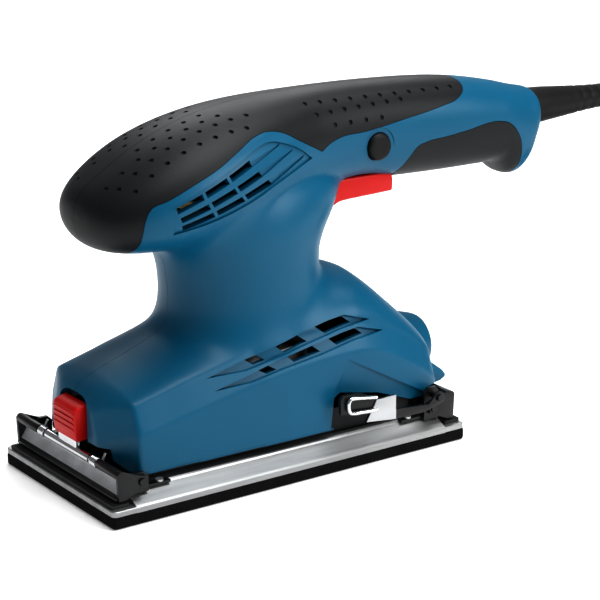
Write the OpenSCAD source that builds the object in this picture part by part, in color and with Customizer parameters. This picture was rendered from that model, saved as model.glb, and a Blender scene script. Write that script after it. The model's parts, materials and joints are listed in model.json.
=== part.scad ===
// Third-sheet orbital finishing sander, taken apart into the pieces it is built from.
// Origin: centre of the pad's working face. -X is the nose, +X the handle end, +Z up, -Y the left side.

/* [Sole] */
// Length of the sanding plate
plate_l = 182; // [178:1:186]
// Width of the sanding plate
plate_w = 92; // [90:1:94]
// Thickness of the foam pad under the plate
pad_t = 5; // [4:0.5:6]
// Height of the plate's flat top above the pad's face
plate_top = 12; // [12:0.5:12]

/* [Motion] */
// Distance between the motor axis and the crank journal
throw_r = 1.2; // [0.8:0.1:1.2]
// Travel of the trigger
trigger_travel = 5; // [3:0.5:5]
// Travel of the lock-on button
lock_travel = 3; // [2:0.5:3]

/* [Housing] */
// Wall of the hood and the neck
wall = 3; // [2.5:0.1:3.2]
// Thickness of the soft grip skin
skin_t = 2; // [1.6:0.1:2.2]
// Wall of the palm and the handle, skin included
grip_wall = 4.2; // [4:0.1:4.4]
// Height of the hood's lower edge
hood_z = 16; // [15.6:0.1:16.4]

/* [Motor] */
// Radius of the motor shaft
shaft_r = 4; // [4:0.5:4]
// Radius of the stator stack
stator_r = 26; // [25:0.5:26]
// Radius of the armature stack
armature_r = 15; // [14:0.5:15]
// Underside of the lamination stacks
stack_z = 70; // [69:0.5:71]
// Height of the lamination stacks
stack_h = 28; // [24:1:28]
// Radius of the commutator
comm_r = 10; // [9:0.5:10]

/* [Clamps] */
// Distance of the clamp bars' rolls from the middle of the plate
roll_x = 85; // [84:0.5:85.5]
// Height of the rolls' centre line
roll_z = 20.8; // [20:0.1:21.5]
// Half the length of a clamp bar
bar_half = 43; // [42:0.5:43]
// Distance of the clamp bars' hinge pins from the middle of the plate
hinge_x = 75.5; // [75:0.5:76]
// Height of the hinge pins
hinge_z = 16.5; // [16:0.5:17]

/* [Cord] */
// Diameter of the mains cord
cord_d = 8; // [7.5:0.1:8]
// Length of the strain relief outside the handle
boot_l = 57; // [50:1:57]
// Height of the cord's outlet
boot_z = 136; // [135:0.5:137]

/* [Hidden] */
handle_end = 161;
// Height of the dust outlet's axis
port_z = 33;
$fn = 48;
big = 400;
blue = [0.06, 0.36, 0.50];
black = [0.13, 0.14, 0.14];
red = [0.85, 0.12, 0.10];
steel = [0.70, 0.71, 0.72];
copper = [0.72, 0.42, 0.22];
ring_n = 28;

// Palm and handle: [x, underside, top, half width, fullness]
grip_rings = [
    [-79.3, 115.5, 120.5, 4, 2], [-78.2, 111, 124.6, 11.5, 2], [-75.5, 107, 128.4, 19, 2],
    [-70.5, 103.8, 132.2, 26, 2.1], [-63, 101.8, 137, 31.5, 2.2], [-54, 100.8, 142.2, 35, 2.25],
    [-44, 100.6, 147, 36.6, 2.3], [-32, 101, 151.4, 36.8, 2.3], [-20, 102.2, 154.6, 35.4, 2.3],
    [-8, 104, 156.8, 32.8, 2.3], [5, 107, 158.2, 29.2, 2.3], [18, 110.5, 158.9, 25.4, 2.3],
    [30, 113.6, 159.2, 22.4, 2.3], [44, 116, 159.3, 20.7, 2.3], [60, 117, 159.1, 20, 2.3],
    [76, 115, 158.5, 19.8, 2.4], [92, 114.3, 157.7, 19.8, 2.4], [106, 114, 156.6, 19.8, 2.4],
    [118, 113.9, 155.1, 19.6, 2.4], [128, 113.8, 153.4, 19.2, 2.4], [138.5, 113.4, 151.2, 18.6, 2.4],
    [142, 110.4, 150.4, 18.2, 2.4], [146, 107, 149.3, 17.6, 2.4], [151, 106.8, 148, 16.6, 2.3],
    [154.5, 109.6, 147.2, 15.8, 2.3], [157.5, 116.5, 146.6, 15, 2.2], [159.8, 122, 146, 13.8, 2.2],
    [161, 125, 145.4, 12.4, 2.2]];
// Neck round the motor: [z, front, rear, half width]
neck_rings = [
    [54, -47, 47, 36], [60, -41.5, 43, 34.6], [66, -37.4, 39.6, 32.8], [72, -35.8, 37.6, 31.7],
    [80, -35.7, 36.8, 31.2], [88, -36.4, 36.6, 31.2], [94, -38, 37, 31.8], [99, -40.4, 38.6, 32.6],
    [104, -43.4, 41.8, 33], [109, -45.6, 45.6, 32.6], [114, -46.4, 48.4, 31.4], [120, -45, 49, 29],
    [126, -42, 46, 25], [132, -38, 40, 20]];
// Hood over the sole: [x, half width, crest height, ridge height, fullness]
hood_rings = [
    [-82.3, 20, 36, 42.5, 2.2], [-81.4, 22, 38.6, 45.4, 2], [-78.6, 25.5, 41, 48, 1.8],
    [-73.5, 33.5, 43.4, 50, 1.6], [-71, 36, 44.6, 51.2, 1.5], [-60, 36.8, 47, 55.4, 1.5],
    [-45, 37.4, 50.3, 61.5, 1.5], [-30, 37.8, 53.4, 67, 1.5], [-15, 38.2, 56.4, 72, 1.6],
    [0, 38.4, 58.6, 76, 1.7], [15, 38.5, 60.2, 79, 1.8], [30, 38.5, 61, 81.4, 1.9],
    [42, 38.5, 60.6, 81.6, 1.8], [50, 38.3, 58.4, 78.6, 1.8], [58, 38, 54.6, 73.2, 1.8],
    [66, 37.5, 50, 66.2, 1.8], [74, 36.5, 45, 58.8, 1.8], [80, 35, 40.6, 53.2, 1.8],
    [84, 33, 37, 48.6, 1.8], [86, 30.5, 34, 45, 1.8]];

// Side outlines of the soft skins, as (x, z)
palm_skin = [[-90, 90], [-64.5, 90], [-64.4, 109], [-64.7, 115.6], [-63.8, 121], [-61.5, 125],
    [-54.7, 128], [-43.5, 133], [-31, 138], [-19.7, 143], [-9.5, 147], [-3, 148.2], [4, 147.4],
    [15.9, 141.7], [28.6, 135.4], [33, 138], [39, 139.8], [54, 140.6], [76, 143.4], [97, 146.4],
    [108, 148.8], [113.5, 152.6], [113, 170], [-90, 170]];
handle_skin = [[70, 100], [72.5, 113], [76.3, 120.5], [79.3, 126], [83, 130.4], [87.4, 131.8],
    [99, 132.9], [113, 134.5], [123, 136], [130, 136], [136.5, 134.4], [141.5, 130.4],
    [144.5, 125.7], [146.5, 118], [147, 100]];

// Cord: the middle line of the stretch that is not coiled, from the boot to the coil
cord_run_pts = [[218, 0, 136], [229, 0, 135.6], [239, 1, 133.5], [248, 3, 129], [256, 6, 122],
    [262, 10, 113], [266, 15, 102], [268.5, 20.5, 90], [270.8, 26.2, 78], [274, 32, 66.4], [278.6, 38, 55.4],
    [285, 44, 45.6], [293, 49, 37.6], [301.4, 51.8, 32.2], [310.5, 52.8, 29]];
// Cord: from the top of the coil round to the plug
cord_tail_pts = [[350.3, 5, 34.6], [350.4, -2, 36], [349.2, -10, 38], [345.6, -18.4, 40.2], [339.6, -26, 42],
    [331.6, -31.8, 43.4], [322.6, -35.2, 43.9], [314, -36, 44]];
coil_at = [306, 0];
coil_in = 40.5;
coil_out = 56.5;
coil_h = 32;

// ---- shapes ----
function sgn_pow(v, e) = sign(v) * pow(abs(v), e);
function oval(b, h, e, n = ring_n) = [for (i = [0 : n - 1]) let (a = 360 * (i + 0.5) / n)
    [b * sgn_pow(cos(a), 2 / e), h * sgn_pow(sin(a), 2 / e)]];
function shift_in(x, t) = x < -40 ? t * min(1, (-40 - x) / 34) : x > 140 ? -t * min(1, (x - 140) / 24) : 0;
function grip_ring(r, t) = [for (p = oval(max(r[3] - t, 2), max((r[2] - r[1]) / 2 - t, 1.5), r[4]))
    [r[0] + shift_in(r[0], t), p[0], (r[1] + r[2]) / 2 + p[1]]];
function neck_ring(r, t) = [for (p = oval((r[2] - r[1]) / 2 - t, r[3] - t, 2.05))
    [(r[1] + r[2]) / 2 + p[0], p[1], r[0]]];
function roof(w, c, top, e, n) = [for (i = [0 : n]) let (a = 180 * i / n)
    [w * sgn_pow(cos(a), 2 / e), c + (top - c) * pow(max(sin(a), 0), 2 / e)]];
function hood_section(w, low, c, top, e) = concat([[w, low], [w, (low + c) / 2], [w, c - 11]],
    roof(w - 2.6, c, top, e, 16), [[-w, c - 11], [-w, (low + c) / 2], [-w, low]]);
function hood_ring(r, t) = [for (p = hood_section(r[1] - t, hood_z - (t > 0 ? 1 : 0), r[2] - t * 0.8,
    r[3] - t * 1.15, r[4])) [r[0] + (r[0] < -70 ? t : r[0] > 82 ? -t : 0), p[0], p[1]]];

// Closes a row of rings of equal length into one solid
module loft(rings, flip = false) {
    n = len(rings[0]);
    m = len(rings);
    pts = [for (r = rings) each r];
    sides = [for (j = [0 : m - 2], i = [0 : n - 1]) let (a = j * n + i, b = j * n + (i + 1) % n)
        each [[a, b, b + n], [a, b + n, a + n]]];
    caps = [[for (i = [n - 1 : -1 : 0]) i], [for (i = [0 : n - 1]) (m - 1) * n + i]];
    faces = concat(sides, caps);
    polyhedron(pts, flip ? [for (f = faces) [for (k = [len(f) - 1 : -1 : 0]) f[k]]] : faces, convexity = 8);
}
module grip_loft(t) {
    loft([for (k = [(t > 0 ? 1 : 0) : len(grip_rings) - 1]) grip_ring(grip_rings[k], t)], true);
}
module neck_loft(t) loft([for (r = neck_rings) neck_ring(r, t)], true);
module hood_loft(t) loft([for (r = hood_rings) hood_ring(r, t)], true);
module along_y(from, to) translate([0, to, 0]) rotate([90, 0, 0]) linear_extrude(to - from) children();
module rod_y(x, z, from, to, r) translate([x, to, z]) rotate([90, 0, 0]) cylinder(r = r, h = to - from);
module rod_x(y, z, from, to, r) translate([from, y, z]) rotate([0, 90, 0]) cylinder(r = r, h = to - from);
module at_z(z, h, r) translate([0, 0, z]) cylinder(r = r, h = h);
module ring(z, h, outer, inner) difference() {
    at_z(z, h, outer);
    at_z(z - 1, h + 2, inner);
}
module block(low, high) translate(low) cube(high - low);
module left_half() translate([-big / 2, -big, -big / 2]) cube(big);
module right_half() translate([-big / 2, 0, -big / 2]) cube(big);

// A round tube swept along points, with n sides
function unit(v) = v / norm(v);
function tangent(p, i) = unit(p[min(i + 1, len(p) - 1)] - p[max(i - 1, 0)]);
function tube_ring(p, t, up, r, n) = let (s = unit(cross(t, up)), u = cross(s, t))
    [for (k = [0 : n - 1]) p + r * (cos(360 * k / n) * s + sin(360 * k / n) * u)];
module tube(p, r, n = 10, up = [0, 0.97, 0.24])
    loft([for (i = [0 : len(p) - 1]) tube_ring(p[i], tangent(p, i), up, r, n)], false);
function helix(r, h, turns, per) = [for (i = [0 : turns * per]) let (a = 360 * i / per)
    [r * cos(a), r * sin(a), h * i / (turns * per)]];
module spring(r, wire, h, turns) translate([0, 0, wire])
    tube(helix(r - wire, h - 2 * wire, turns, 10), wire, 6, [0, 0.04, 1]);

// ---- housing halves ----
screw_spots = [[-58, 121, 25], [24, 126, 18], [88, 149, 11], [124, 148.5, 12], [148, 116, 8],
    [50, 63, 30], [-66, 35, 29]];
clamp_x = 134;
clamp_screw_y = [-6.8, 6.8];
mount_spots = [[-52, -22], [-52, 22], [58, -22], [58, 22]];

module body_outside() {
    neck_loft(0);
    hood_loft(0);
    rear_lip();
    difference() {
        grip_loft(0);
        intersection() {
            skin_outlines();
            difference() {
                grip_loft(-0.5);
                grip_loft(skin_t + 0.1);
            }
        }
    }
}
// Lip under the dust port, at the back of the hood
module rear_lip() {
    along_y(-27, 27) polygon([[78, 20.5], [92, 21.4], [96, 23.5], [94, 26.5], [84, 34], [78, 34]]);
}
module skin_outlines() along_y(-60, 60) {
    polygon(palm_skin);
    polygon(handle_skin);
}
module cavity() {
    difference() {
        union() {
            neck_loft(wall);
            hood_loft(wall);
            grip_loft(grip_wall);
        }
        // Ribs that carry the motor
        difference() {
            for (z = [74, 91]) block([-45, -45, z], [45, 45, z + 3]);
            at_z(60, 60, stator_r + 0.3, $fn = 72);
        }
        difference() {
            block([-40, -45, 47.5], [40, 45, 52.5]);
            at_z(40, 20, 30.4, $fn = 72);
        }
        difference() {
            block([-42, -45, 119], [30, 45, 122.5]);
            at_z(110, 20, 11.8);
        }
        // Posts for the cord clamp's screws
        for (y = clamp_screw_y) translate([clamp_x, y, 112]) cylinder(r = 2.6, h = 26.9);
        // Bosses for the housing screws and the soft mounts
        for (s = screw_spots) rod_y(s[0], s[1], -s[2] - 6, s[2] + 6, 4.4, $fn = 16);
        for (m = mount_spots) translate([m[0], m[1], 34]) cylinder(r = 7, h = 40, $fn = 32);
    }
}
module slot(a, b, side, half) hull() {
    rod_y(a[0], a[1], side > 0 ? 12 : -50, side > 0 ? 50 : -12, half, $fn = 8);
    rod_y(b[0], b[1], side > 0 ? 12 : -50, side > 0 ? 50 : -12, half, $fn = 8);
}
function mix(a, b, t) = a + (b - a) * t;
palm_rows = [[[-54, 124], [-21, 138]], [[-52, 120.4], [-15, 134]], [[-50, 116.4], [-10, 128.4]]];
hood_rows = [[[-19, 56.4], [34, 64.4]], [[-13, 50.6], [40, 58.4]]];
module vents(side) {
    for (r = palm_rows, k = [0 : 2])
        slot(mix(r[0], r[1], k * 0.36), mix(r[0], r[1], k * 0.36 + 0.26), side, 1.2);
    for (r = hood_rows, k = [0 : 2])
        slot(mix(r[0], r[1], k * 0.37 + 0.02), mix(r[0], r[1], k * 0.37 + 0.24), side, 2);
}
module body_cuts() {
    for (y = clamp_screw_y) translate([clamp_x, y, 127.5]) cylinder(r = 1.55, h = 20);
    // Room for the trigger, the boot and the inner cord
    block([35.6, -10.6, 97], [77.6, 10.6, 124]);
    rod_x(0, boot_z, 141, 180, 8.9);
    rod_x(0, boot_z, 142.8, 148.2, 10.3);
    // Nose: arch over the lever, and the raised front edge of the hood
    along_y(-11, 11) polygon([[-90, 10], [-76, 10], [-76, 40], [-80, 43.5], [-90, 43.5]]);
    translate([-71, 0, 0]) rotate([90, 0, -90]) linear_extrude(20)
        polygon([[-34, 10], [-34, hood_z], [-24, 27], [24, 27], [34, hood_z], [34, 10]]);
    // Rear: clearance over the rear clamp, and the dust outlet's seat
    rod_x(0, port_z, 76, 120, 17);
    block([70, -60, 10], [120, 60, 20.4]);
    for (s = [-1, 1]) {
        // Side cut-out round the rear lever, with a sloped facet over it
        translate([0, s * 36, 0]) scale([1, s, 1])
            along_y(-4, 14) polygon([[23, 10], [23, 31], [29, 35.5], [49, 29], [68, 20.5], [90, 20.5],
                [90, 10]]);
        // Room for the rear clamp's roll
        translate([0, s * 44, 0]) block([79.2, -17.6, 10], [100, 17.6, 27.8]);
    }
    for (s = screw_spots) {
        rod_y(s[0], s[1], -13, 60, 2.1, $fn = 16);
        rod_y(s[0], s[1], s[2] - 2.7, 60, 3.9, $fn = 20);
    }
}
module housing_half(side) difference() {
    intersection() {
        body_outside();
        if (side < 0) left_half(); else right_half();
    }
    cavity();
    body_cuts();
    vents(side);
    if (side < 0) {
        rod_y(61, 133, -30, -10, 6.4);
        rod_y(61, 133, -16, -10, 8.4);
    }
}
module left_housing() color(blue) housing_half(-1);
module right_housing() color(blue) housing_half(1);

module grip_skin(side) {
    intersection() {
        difference() {
            grip_loft(0);
            grip_loft(skin_t);
        }
        skin_outlines();
        if (side < 0) left_half(); else right_half();
        // Grip dots are pressed in along the palm
        difference() {
            block([-100, -60, 80], [200, 60, 180]);
            body_cuts();
            difference() {
                for (k = [0 : 8], z = [134.2 + 1.6 * k]) hull() {
                    rod_y(7.6 * k - 52, z, side * 31 - 19, side * 31 + 19, 0.9, $fn = 6);
                    rod_y(7.6 * k - 51.6, z, side * 31 - 19, side * 31 + 19, 0.9, $fn = 6);
                }
                grip_loft(0.5);
            }
        }
    }
}
module left_grip_skin() color(black) grip_skin(-1);
module right_grip_skin() color(black) grip_skin(1);

// Thread-forming screws, all driven from the right
module housing_screws() color(steel) for (s = screw_spots) difference() {
    union() {
        rod_y(s[0], s[1], s[2] - 2.6, s[2], 3.5);
        rod_y(s[0], s[1], -12, s[2] - 2.5, 1.7);
    }
    rod_y(s[0], s[1], s[2] - 1.4, s[2] + 1, 1.3, $fn = 6);
}

// ---- dust side ----
seal_line = [[-74, -15], [-66, -31], [68, -33.6], [79, -27], [79, 27], [68, 33.6], [-66, 31], [-74, 15]];
module dust_seal() color(black) translate([0, 0, 13.2]) linear_extrude(10.5) difference() {
    polygon(seal_line);
    offset(delta = -2) polygon(seal_line);
}
module dust_duct() color(blue) difference() {
    block([30, -11.5, 24], [79.5, 11.5, 42]);
    block([29, -10, 25.5], [78, 10, 40.5]);
    rod_x(0, port_z, 77, 81, 8);
    // Open towards the fan
    block([29, -10, 23], [34, 10, 40.5]);
}
// Rounded port that the dust bag's nozzle pushes into
module dust_outlet() color(blue) difference() {
    port_discs = [[79.6, 16.6], [86, 16.2], [92, 15], [96, 13.6], [99, 12.4]];
    for (i = [0 : len(port_discs) - 2]) hull() {
        rod_x(0, port_z, port_discs[i][0], port_discs[i][0] + 0.2, port_discs[i][1], $fn = 32);
        rod_x(0, port_z, port_discs[i + 1][0] - 0.2, port_discs[i + 1][0], port_discs[i + 1][1], $fn = 32);
    }
    rod_x(0, port_z, 70, 120, 9.5);
    block([70, -60, 10], [120, 60, 20.6]);
}
module plate_mounts() color(black) for (m = mount_spots) translate([m[0], m[1], 12]) difference() {
    union() {
        cylinder(r = 6.5, h = 4);
        cylinder(r = 5, h = 22);
        translate([0, 0, 18]) cylinder(r = 6.5, h = 4);
    }
    translate([0, 0, -1]) cylinder(r = 1.8, h = 24);
}

// ---- motor, standing in the neck ----
module motor_bearing_plate() color(steel) difference() {
    at_z(44.8, 9.7, 30);
    at_z(44, 4, 7);
    at_z(46, 10, 11);
    // Air passages round the bearing pocket
    for (a = [0 : 60 : 300]) rotate([0, 0, a + 30]) translate([21, 0, 44]) cylinder(r = 6, h = 12);
}
module sector(inner, outer, from, to) intersection() {
    difference() {
        circle(r = outer);
        circle(r = inner);
    }
    polygon([[0, 0], for (k = [0 : 4]) 60 * [cos(mix(from, to, k / 4)), sin(mix(from, to, k / 4))]]);
}
coil_angles = [48, 132, 228, 312];
module stator_core() color(steel) translate([0, 0, stack_z]) linear_extrude(stack_h) difference() {
    intersection() {
        circle(r = stator_r);
        square([2 * stator_r, 2 * stator_r - 2], center = true);
    }
    circle(r = armature_r + 0.5);
    for (a = coil_angles) sector(armature_r, 22, a - 12, a + 12);
}
module field_coils() color(copper) for (s = [0, 180]) rotate([0, 0, s]) {
    for (a = [48, -48]) translate([0, 0, stack_z - 3]) linear_extrude(stack_h + 6)
        sector(armature_r + 1, 21.6, a - 11, a + 11);
    for (z = [stack_z - 5, stack_z + stack_h + 0.5]) translate([0, 0, z]) linear_extrude(4.5)
        sector(armature_r + 1, 21.6, -59, 59);
}
brush_z = 110;
module each_side() for (s = [0, 180]) rotate([0, 0, s]) children();
module brush_holders() color([0.75, 0.62, 0.3]) each_side() difference() {
    block([12.5, -4.6, brush_z - 5.2], [30, 4.6, brush_z + 5.2]);
    block([12, -2.9, brush_z - 4.1], [29, 2.9, brush_z + 4.1]);
}
module carbon_brushes() color(black) each_side() difference() {
    block([8, -2.8, brush_z - 4], [22, 2.8, brush_z + 4]);
    at_z(90, 40, comm_r + 0.06);
}
module brush_springs() color(steel) each_side()
    translate([22, 0, brush_z]) rotate([0, 90, 0]) spring(2.4, 0.4, 7, 4);

// Bearings: [centre x, underside, height, outer radius, bore radius, ball radius]
upper_bearing = [0, 117.5, 6, 9.5, 3.5, 1.6];
lower_bearing = [0, 46, 7, 11, 4, 1.9];
plate_bearing = [throw_r, 14.5, 8, 14, 6, 2.3];
function track_r(b) = (b[3] + b[4]) / 2;
module outer_race(b) color(steel) translate([b[0], 0, b[1]]) difference() {
    cylinder(r = b[3], h = b[2]);
    translate([0, 0, -1]) cylinder(r = track_r(b) + b[5] * 0.55, h = b[2] + 2);
    translate([0, 0, b[2] / 2]) rotate_extrude() translate([track_r(b), 0]) circle(r = b[5] + 0.05);
}
module inner_race(b) color(steel) translate([b[0], 0, b[1]]) difference() {
    cylinder(r = track_r(b) - b[5] * 0.55, h = b[2]);
    translate([0, 0, -1]) cylinder(r = b[4], h = b[2] + 2);
    translate([0, 0, b[2] / 2]) rotate_extrude() translate([track_r(b), 0]) circle(r = b[5]);
}
module upper_bearing_outer_race() outer_race(upper_bearing);
module lower_bearing_outer_race() outer_race(lower_bearing);
module plate_bearing_outer_race() outer_race(plate_bearing);
module upper_bearing_inner_race() inner_race(upper_bearing);
module lower_bearing_inner_race() inner_race(lower_bearing);
module plate_bearing_inner_race() inner_race(plate_bearing);
module bearing_balls() color(steel) for (b = [upper_bearing, lower_bearing, plate_bearing], k = [0 : 6])
    translate([b[0] + track_r(b) * cos(k * 360 / 7), track_r(b) * sin(k * 360 / 7), b[1] + b[2] / 2])
        sphere(r = b[5] - 0.01);
module upper_bearing_cup() color(black) difference() {
    at_z(117.5, 8, 11.5);
    at_z(116, 7.8, upper_bearing[3]);
}

module motor_shaft() color(steel) union() {
    at_z(28, 72, shaft_r);
    at_z(44.2, 1.8, 5.6);
    at_z(99, 24.4, 3.5);
}
slots = 12;
module armature_core() color(steel) translate([0, 0, stack_z]) linear_extrude(stack_h) difference() {
    circle(r = armature_r);
    circle(r = shaft_r);
    for (k = [0 : slots - 1]) rotate(k * 360 / slots) translate([11.6, 0]) circle(r = 1.9);
    for (k = [0 : slots - 1]) rotate(k * 360 / slots) translate([12, -0.6]) square([6, 1.2]);
}
module armature_windings() color(copper) {
    for (k = [0 : slots - 1]) rotate([0, 0, k * 360 / slots]) translate([11.6, 0, stack_z - 3])
        cylinder(r = 1.8, h = stack_h + 6);
    ring(stack_z - 5, 4.6, 13.6, shaft_r + 0.3);
    ring(stack_z + stack_h + 0.4, 4.2, 13.6, shaft_r + 0.3);
}
module commutator() color(copper) difference() {
    union() {
        at_z(104.5, 10.5, comm_r);
        at_z(103.4, 1.2, comm_r + 1);
    }
    at_z(100, 20, 3.5);
    for (k = [0 : 11]) rotate([0, 0, k * 30 + 15]) block([comm_r - 1, -0.2, 105], [comm_r + 2, 0.2, 116]);
}
module blades(count, inner, outer, z, h) for (k = [0 : count - 1]) rotate([0, 0, k * 360 / count])
    translate([inner, -0.7, z]) cube([outer - inner, 1.4, h]);
module cooling_fan() color(black) difference() {
    union() {
        at_z(56, 7.6, 8.5);
        at_z(62, 1.6, 24);
        blades(9, 8, 23, 56.5, 6);
    }
    at_z(50, 20, shaft_r);
}
module dust_fan() color(black) difference() {
    union() {
        at_z(36.4, 7.6, 8.5);
        at_z(42.4, 1.6, 26.5);
        blades(10, 8, 26, 36.4, 6.5);
    }
    at_z(30, 20, shaft_r);
}
// Crank: a shaft hub above, the offset journal below, and a half disc that balances the plate
module counterweight() color(steel) difference() {
    union() {
        translate([throw_r, 0, 12.6]) cylinder(r = 6, h = 10);
        translate([throw_r, 0, 22.5]) cylinder(r = 8.4, h = 4.6);
        at_z(27, 9.2, 10);
        translate([0, 0, 27.2]) linear_extrude(8.4) intersection() {
            circle(r = 26);
            translate([-30, -30]) square([30, 60]);
        }
    }
    at_z(28, 20, shaft_r);
    translate([throw_r, 0, 13.4]) ring(0, 1, 7, 5.4);
}
module journal_circlip() color(steel) translate([throw_r, 0, 0]) difference() {
    ring(13.4, 0.95, 7.2, 5.45);
    block([4, -1.2, 12], [9, 1.2, 16]);
}

// ---- sole ----
bevel = 9;
plate_base = [[-plate_w / 2, pad_t], [plate_w / 2, pad_t], [plate_w / 2, pad_t + 2.6],
    [plate_w / 2 - bevel, plate_top], [bevel - plate_w / 2, plate_top], [-plate_w / 2, pad_t + 2.6]];
module sanding_plate() color([0.75, 0.75, 0.75]) difference() {
    union() {
        block([-plate_l / 2, -plate_w / 2, pad_t], [plate_l / 2, plate_w / 2, pad_t + 2.6]);
        translate([-80, 0, 0]) rotate([90, 0, 90]) linear_extrude(160) polygon(plate_base);
        translate([throw_r, 0, plate_top - 1]) cylinder(r = 19, h = 11.5);
    }
    translate([throw_r, 0, plate_top]) cylinder(r = 12.4, h = 14);
    translate([throw_r, 0, plate_bearing[1]]) cylinder(r = 14, h = 14);
    for (k = [0 : 2]) translate([throw_r, 0, 0]) rotate([0, 0, k * 120]) translate([16.5, 0, 17])
        cylinder(r = 1.05, h = 10);
}
module foam_pad() color(black) block([-plate_l / 2, -plate_w / 2, 0], [plate_l / 2, plate_w / 2, pad_t]);
module retainer_spots() for (k = [0 : 2]) translate([throw_r, 0, 0]) rotate([0, 0, k * 120])
    translate([16.5, 0, 0]) children();
module bearing_retainer() color(steel) difference() {
    translate([throw_r, 0, 0]) ring(22.5, 1.6, 19, 11);
    retainer_spots() translate([0, 0, 20]) cylinder(r = 1.2, h = 6);
}
module retainer_screws() color(steel) retainer_spots() {
    translate([0, 0, 18]) cylinder(r = 1, h = 6.4);
    translate([0, 0, 24.1]) cylinder(r = 2, h = 1.3);
}
strip_x = roll_x - 3;
module ends() for (s = [0, 1]) mirror([s, 0, 0]) children();
module clamp_strips() color(black) ends()
    block([-plate_l / 2 + 1, -bar_half, pad_t + 2.6], [-strip_x, bar_half, pad_t + 4.6]);

// ---- paper clamps ----
bracket_y = 39.4;
module sides() for (s = [0, 1]) mirror([0, s, 0]) children();
module bracket() difference() {
    union() {
        // Ear with the hinge pin, and a foot on the plate's bevel
        along_y(-bracket_y - 1.6, -bracket_y) polygon([[-79.5, 11.2], [-79.5, 18], [-77.5, 20],
            [-73.5, 20], [-71.5, 18], [-71.5, 11.2]]);
        rod_y(-hinge_x, hinge_z, -bar_half - 0.6, -bracket_y, 1.5);
        block([-79.5, -bracket_y, 12], [-60, -36, 13]);
    }
    translate([-64.5, -37.8, 10]) cylinder(r = 1, h = 6);
}
// Taller ear at the rear left, with the pin that the rear lever turns on
module lever_post() {
    along_y(-bracket_y - 1.6, -bracket_y) polygon([[71.5, 11.2], [71.5, 24], [74, 26], [78, 26],
        [79.5, 24], [79.5, 11.2]]);
    rod_y(rear_pivot[0], rear_pivot[1], lever_y - 1, -bracket_y, 1.4);
}
module clamp_brackets() color(steel) {
    ends() sides() bracket();
    lever_post();
}
module bracket_rivets() color(steel) ends() sides() translate([-64.5, -37.8, 12]) {
    cylinder(r = 1, h = 1);
    translate([0, 0, 1]) cylinder(r = 1.7, h = 0.9);
}
bar_profile = [[-84.4, 19], [-83, 16.2], [-85.9, 11.8], [-87.6, 11.2], [-87.6, 10.3], [-85, 10.3],
    [-81.4, 16], [-82.8, 20.2]];
module clamp_bar(gap) difference() {
    union() {
        along_y(-bar_half + 1.5, bar_half - 1.5) polygon(bar_profile);
        sides() rod_y(-roll_x, roll_z, -bar_half, -gap, 2.1);
        // End cheeks, carried by the hinge pins
        sides() along_y(-bar_half, -bar_half + 1.5) polygon([[-86.6, 10.3], [-87, 20], [-84, 22.6],
            [-77, 19.6], [-73.2, 18.6], [-73.2, 14.6], [-77.4, 12.8], [-83.4, 10.3]]);
    }
    rod_y(-hinge_x, hinge_z, -60, 60, 1.56);
    rod_y(-roll_x, roll_z, 1 - bar_half, bar_half - 1, 1.16);
}
module front_clamp_bar() color([0.3, 0.3, 0.3]) difference() {
    clamp_bar(25);
    // The middle stands back for the lever
    block([-90, -10.2, 17.6], [-80, 10.2, 24]);
}
module rear_clamp_bar() color([0.3, 0.3, 0.3]) mirror([1, 0, 0]) difference() {
    clamp_bar(29);
    // The middle is low, under the dust port
    block([-90, -28.6, 18.6], [-80, 28.6, 26]);
}
module front_lever_wire() color(steel) {
    rod_y(-roll_x, roll_z, -34, 34, 1.1);
    // Spring hooks beside the lever
    sides() translate([-roll_x, -22.6, roll_z]) rotate([0, 50, 0]) translate([0, 0, 1])
        cylinder(r = 0.9, h = 5);
}
module front_lever_grip() color(red) difference() {
    along_y(-9.2, 9.2) polygon([[-87, 20.4], [-87.4, 30], [-87, 38.6], [-86, 40], [-80.6, 41.4],
        [-79.6, 40], [-79.8, 26], [-82.6, 23], [-83, 19.2], [-86, 18.8]]);
    // Eye round the wire, and finger ridges across the front
    rod_y(-roll_x, roll_z, -20, 20, 1.1);
    for (k = [0 : 3]) translate([-88.4, -20, 29 + 2.6 * k]) rotate([0, 24, 0]) cube([1.6, 40, 0.8]);
}
rear_pivot = [76, 22.6];
lever_y = -46;
module rear_lever_arm() color(steel) difference() {
    along_y(lever_y, lever_y + 1.4) polygon([[38.5, 17.5], [38.5, 29], [53, 30.2], [53, 22], [70, 20.4],
        [76, 25.4], [79, 24], [79, 20.6], [76, 19.4], [68, 17.4], [53, 16]]);
    rod_y(rear_pivot[0], rear_pivot[1], -60, 0, 1.46);
}
// Finger loop clipped to the arm, and the pin that the arm turns on
loop_pts = [[40, 0, 22.6], [34, 0, 22.6], [29.5, 0, 22.8], [27.8, 0, 24.6], [27.6, 0, 27],
    [27.8, 0, 29.4], [29.5, 0, 31.2], [34, 0, 31.4], [40, 0, 31.4]];
module rear_lever_wire() color(steel) translate([0, lever_y - 1.1, 0]) tube(loop_pts, 1.1, 8, [0, 1, 0]);

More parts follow.
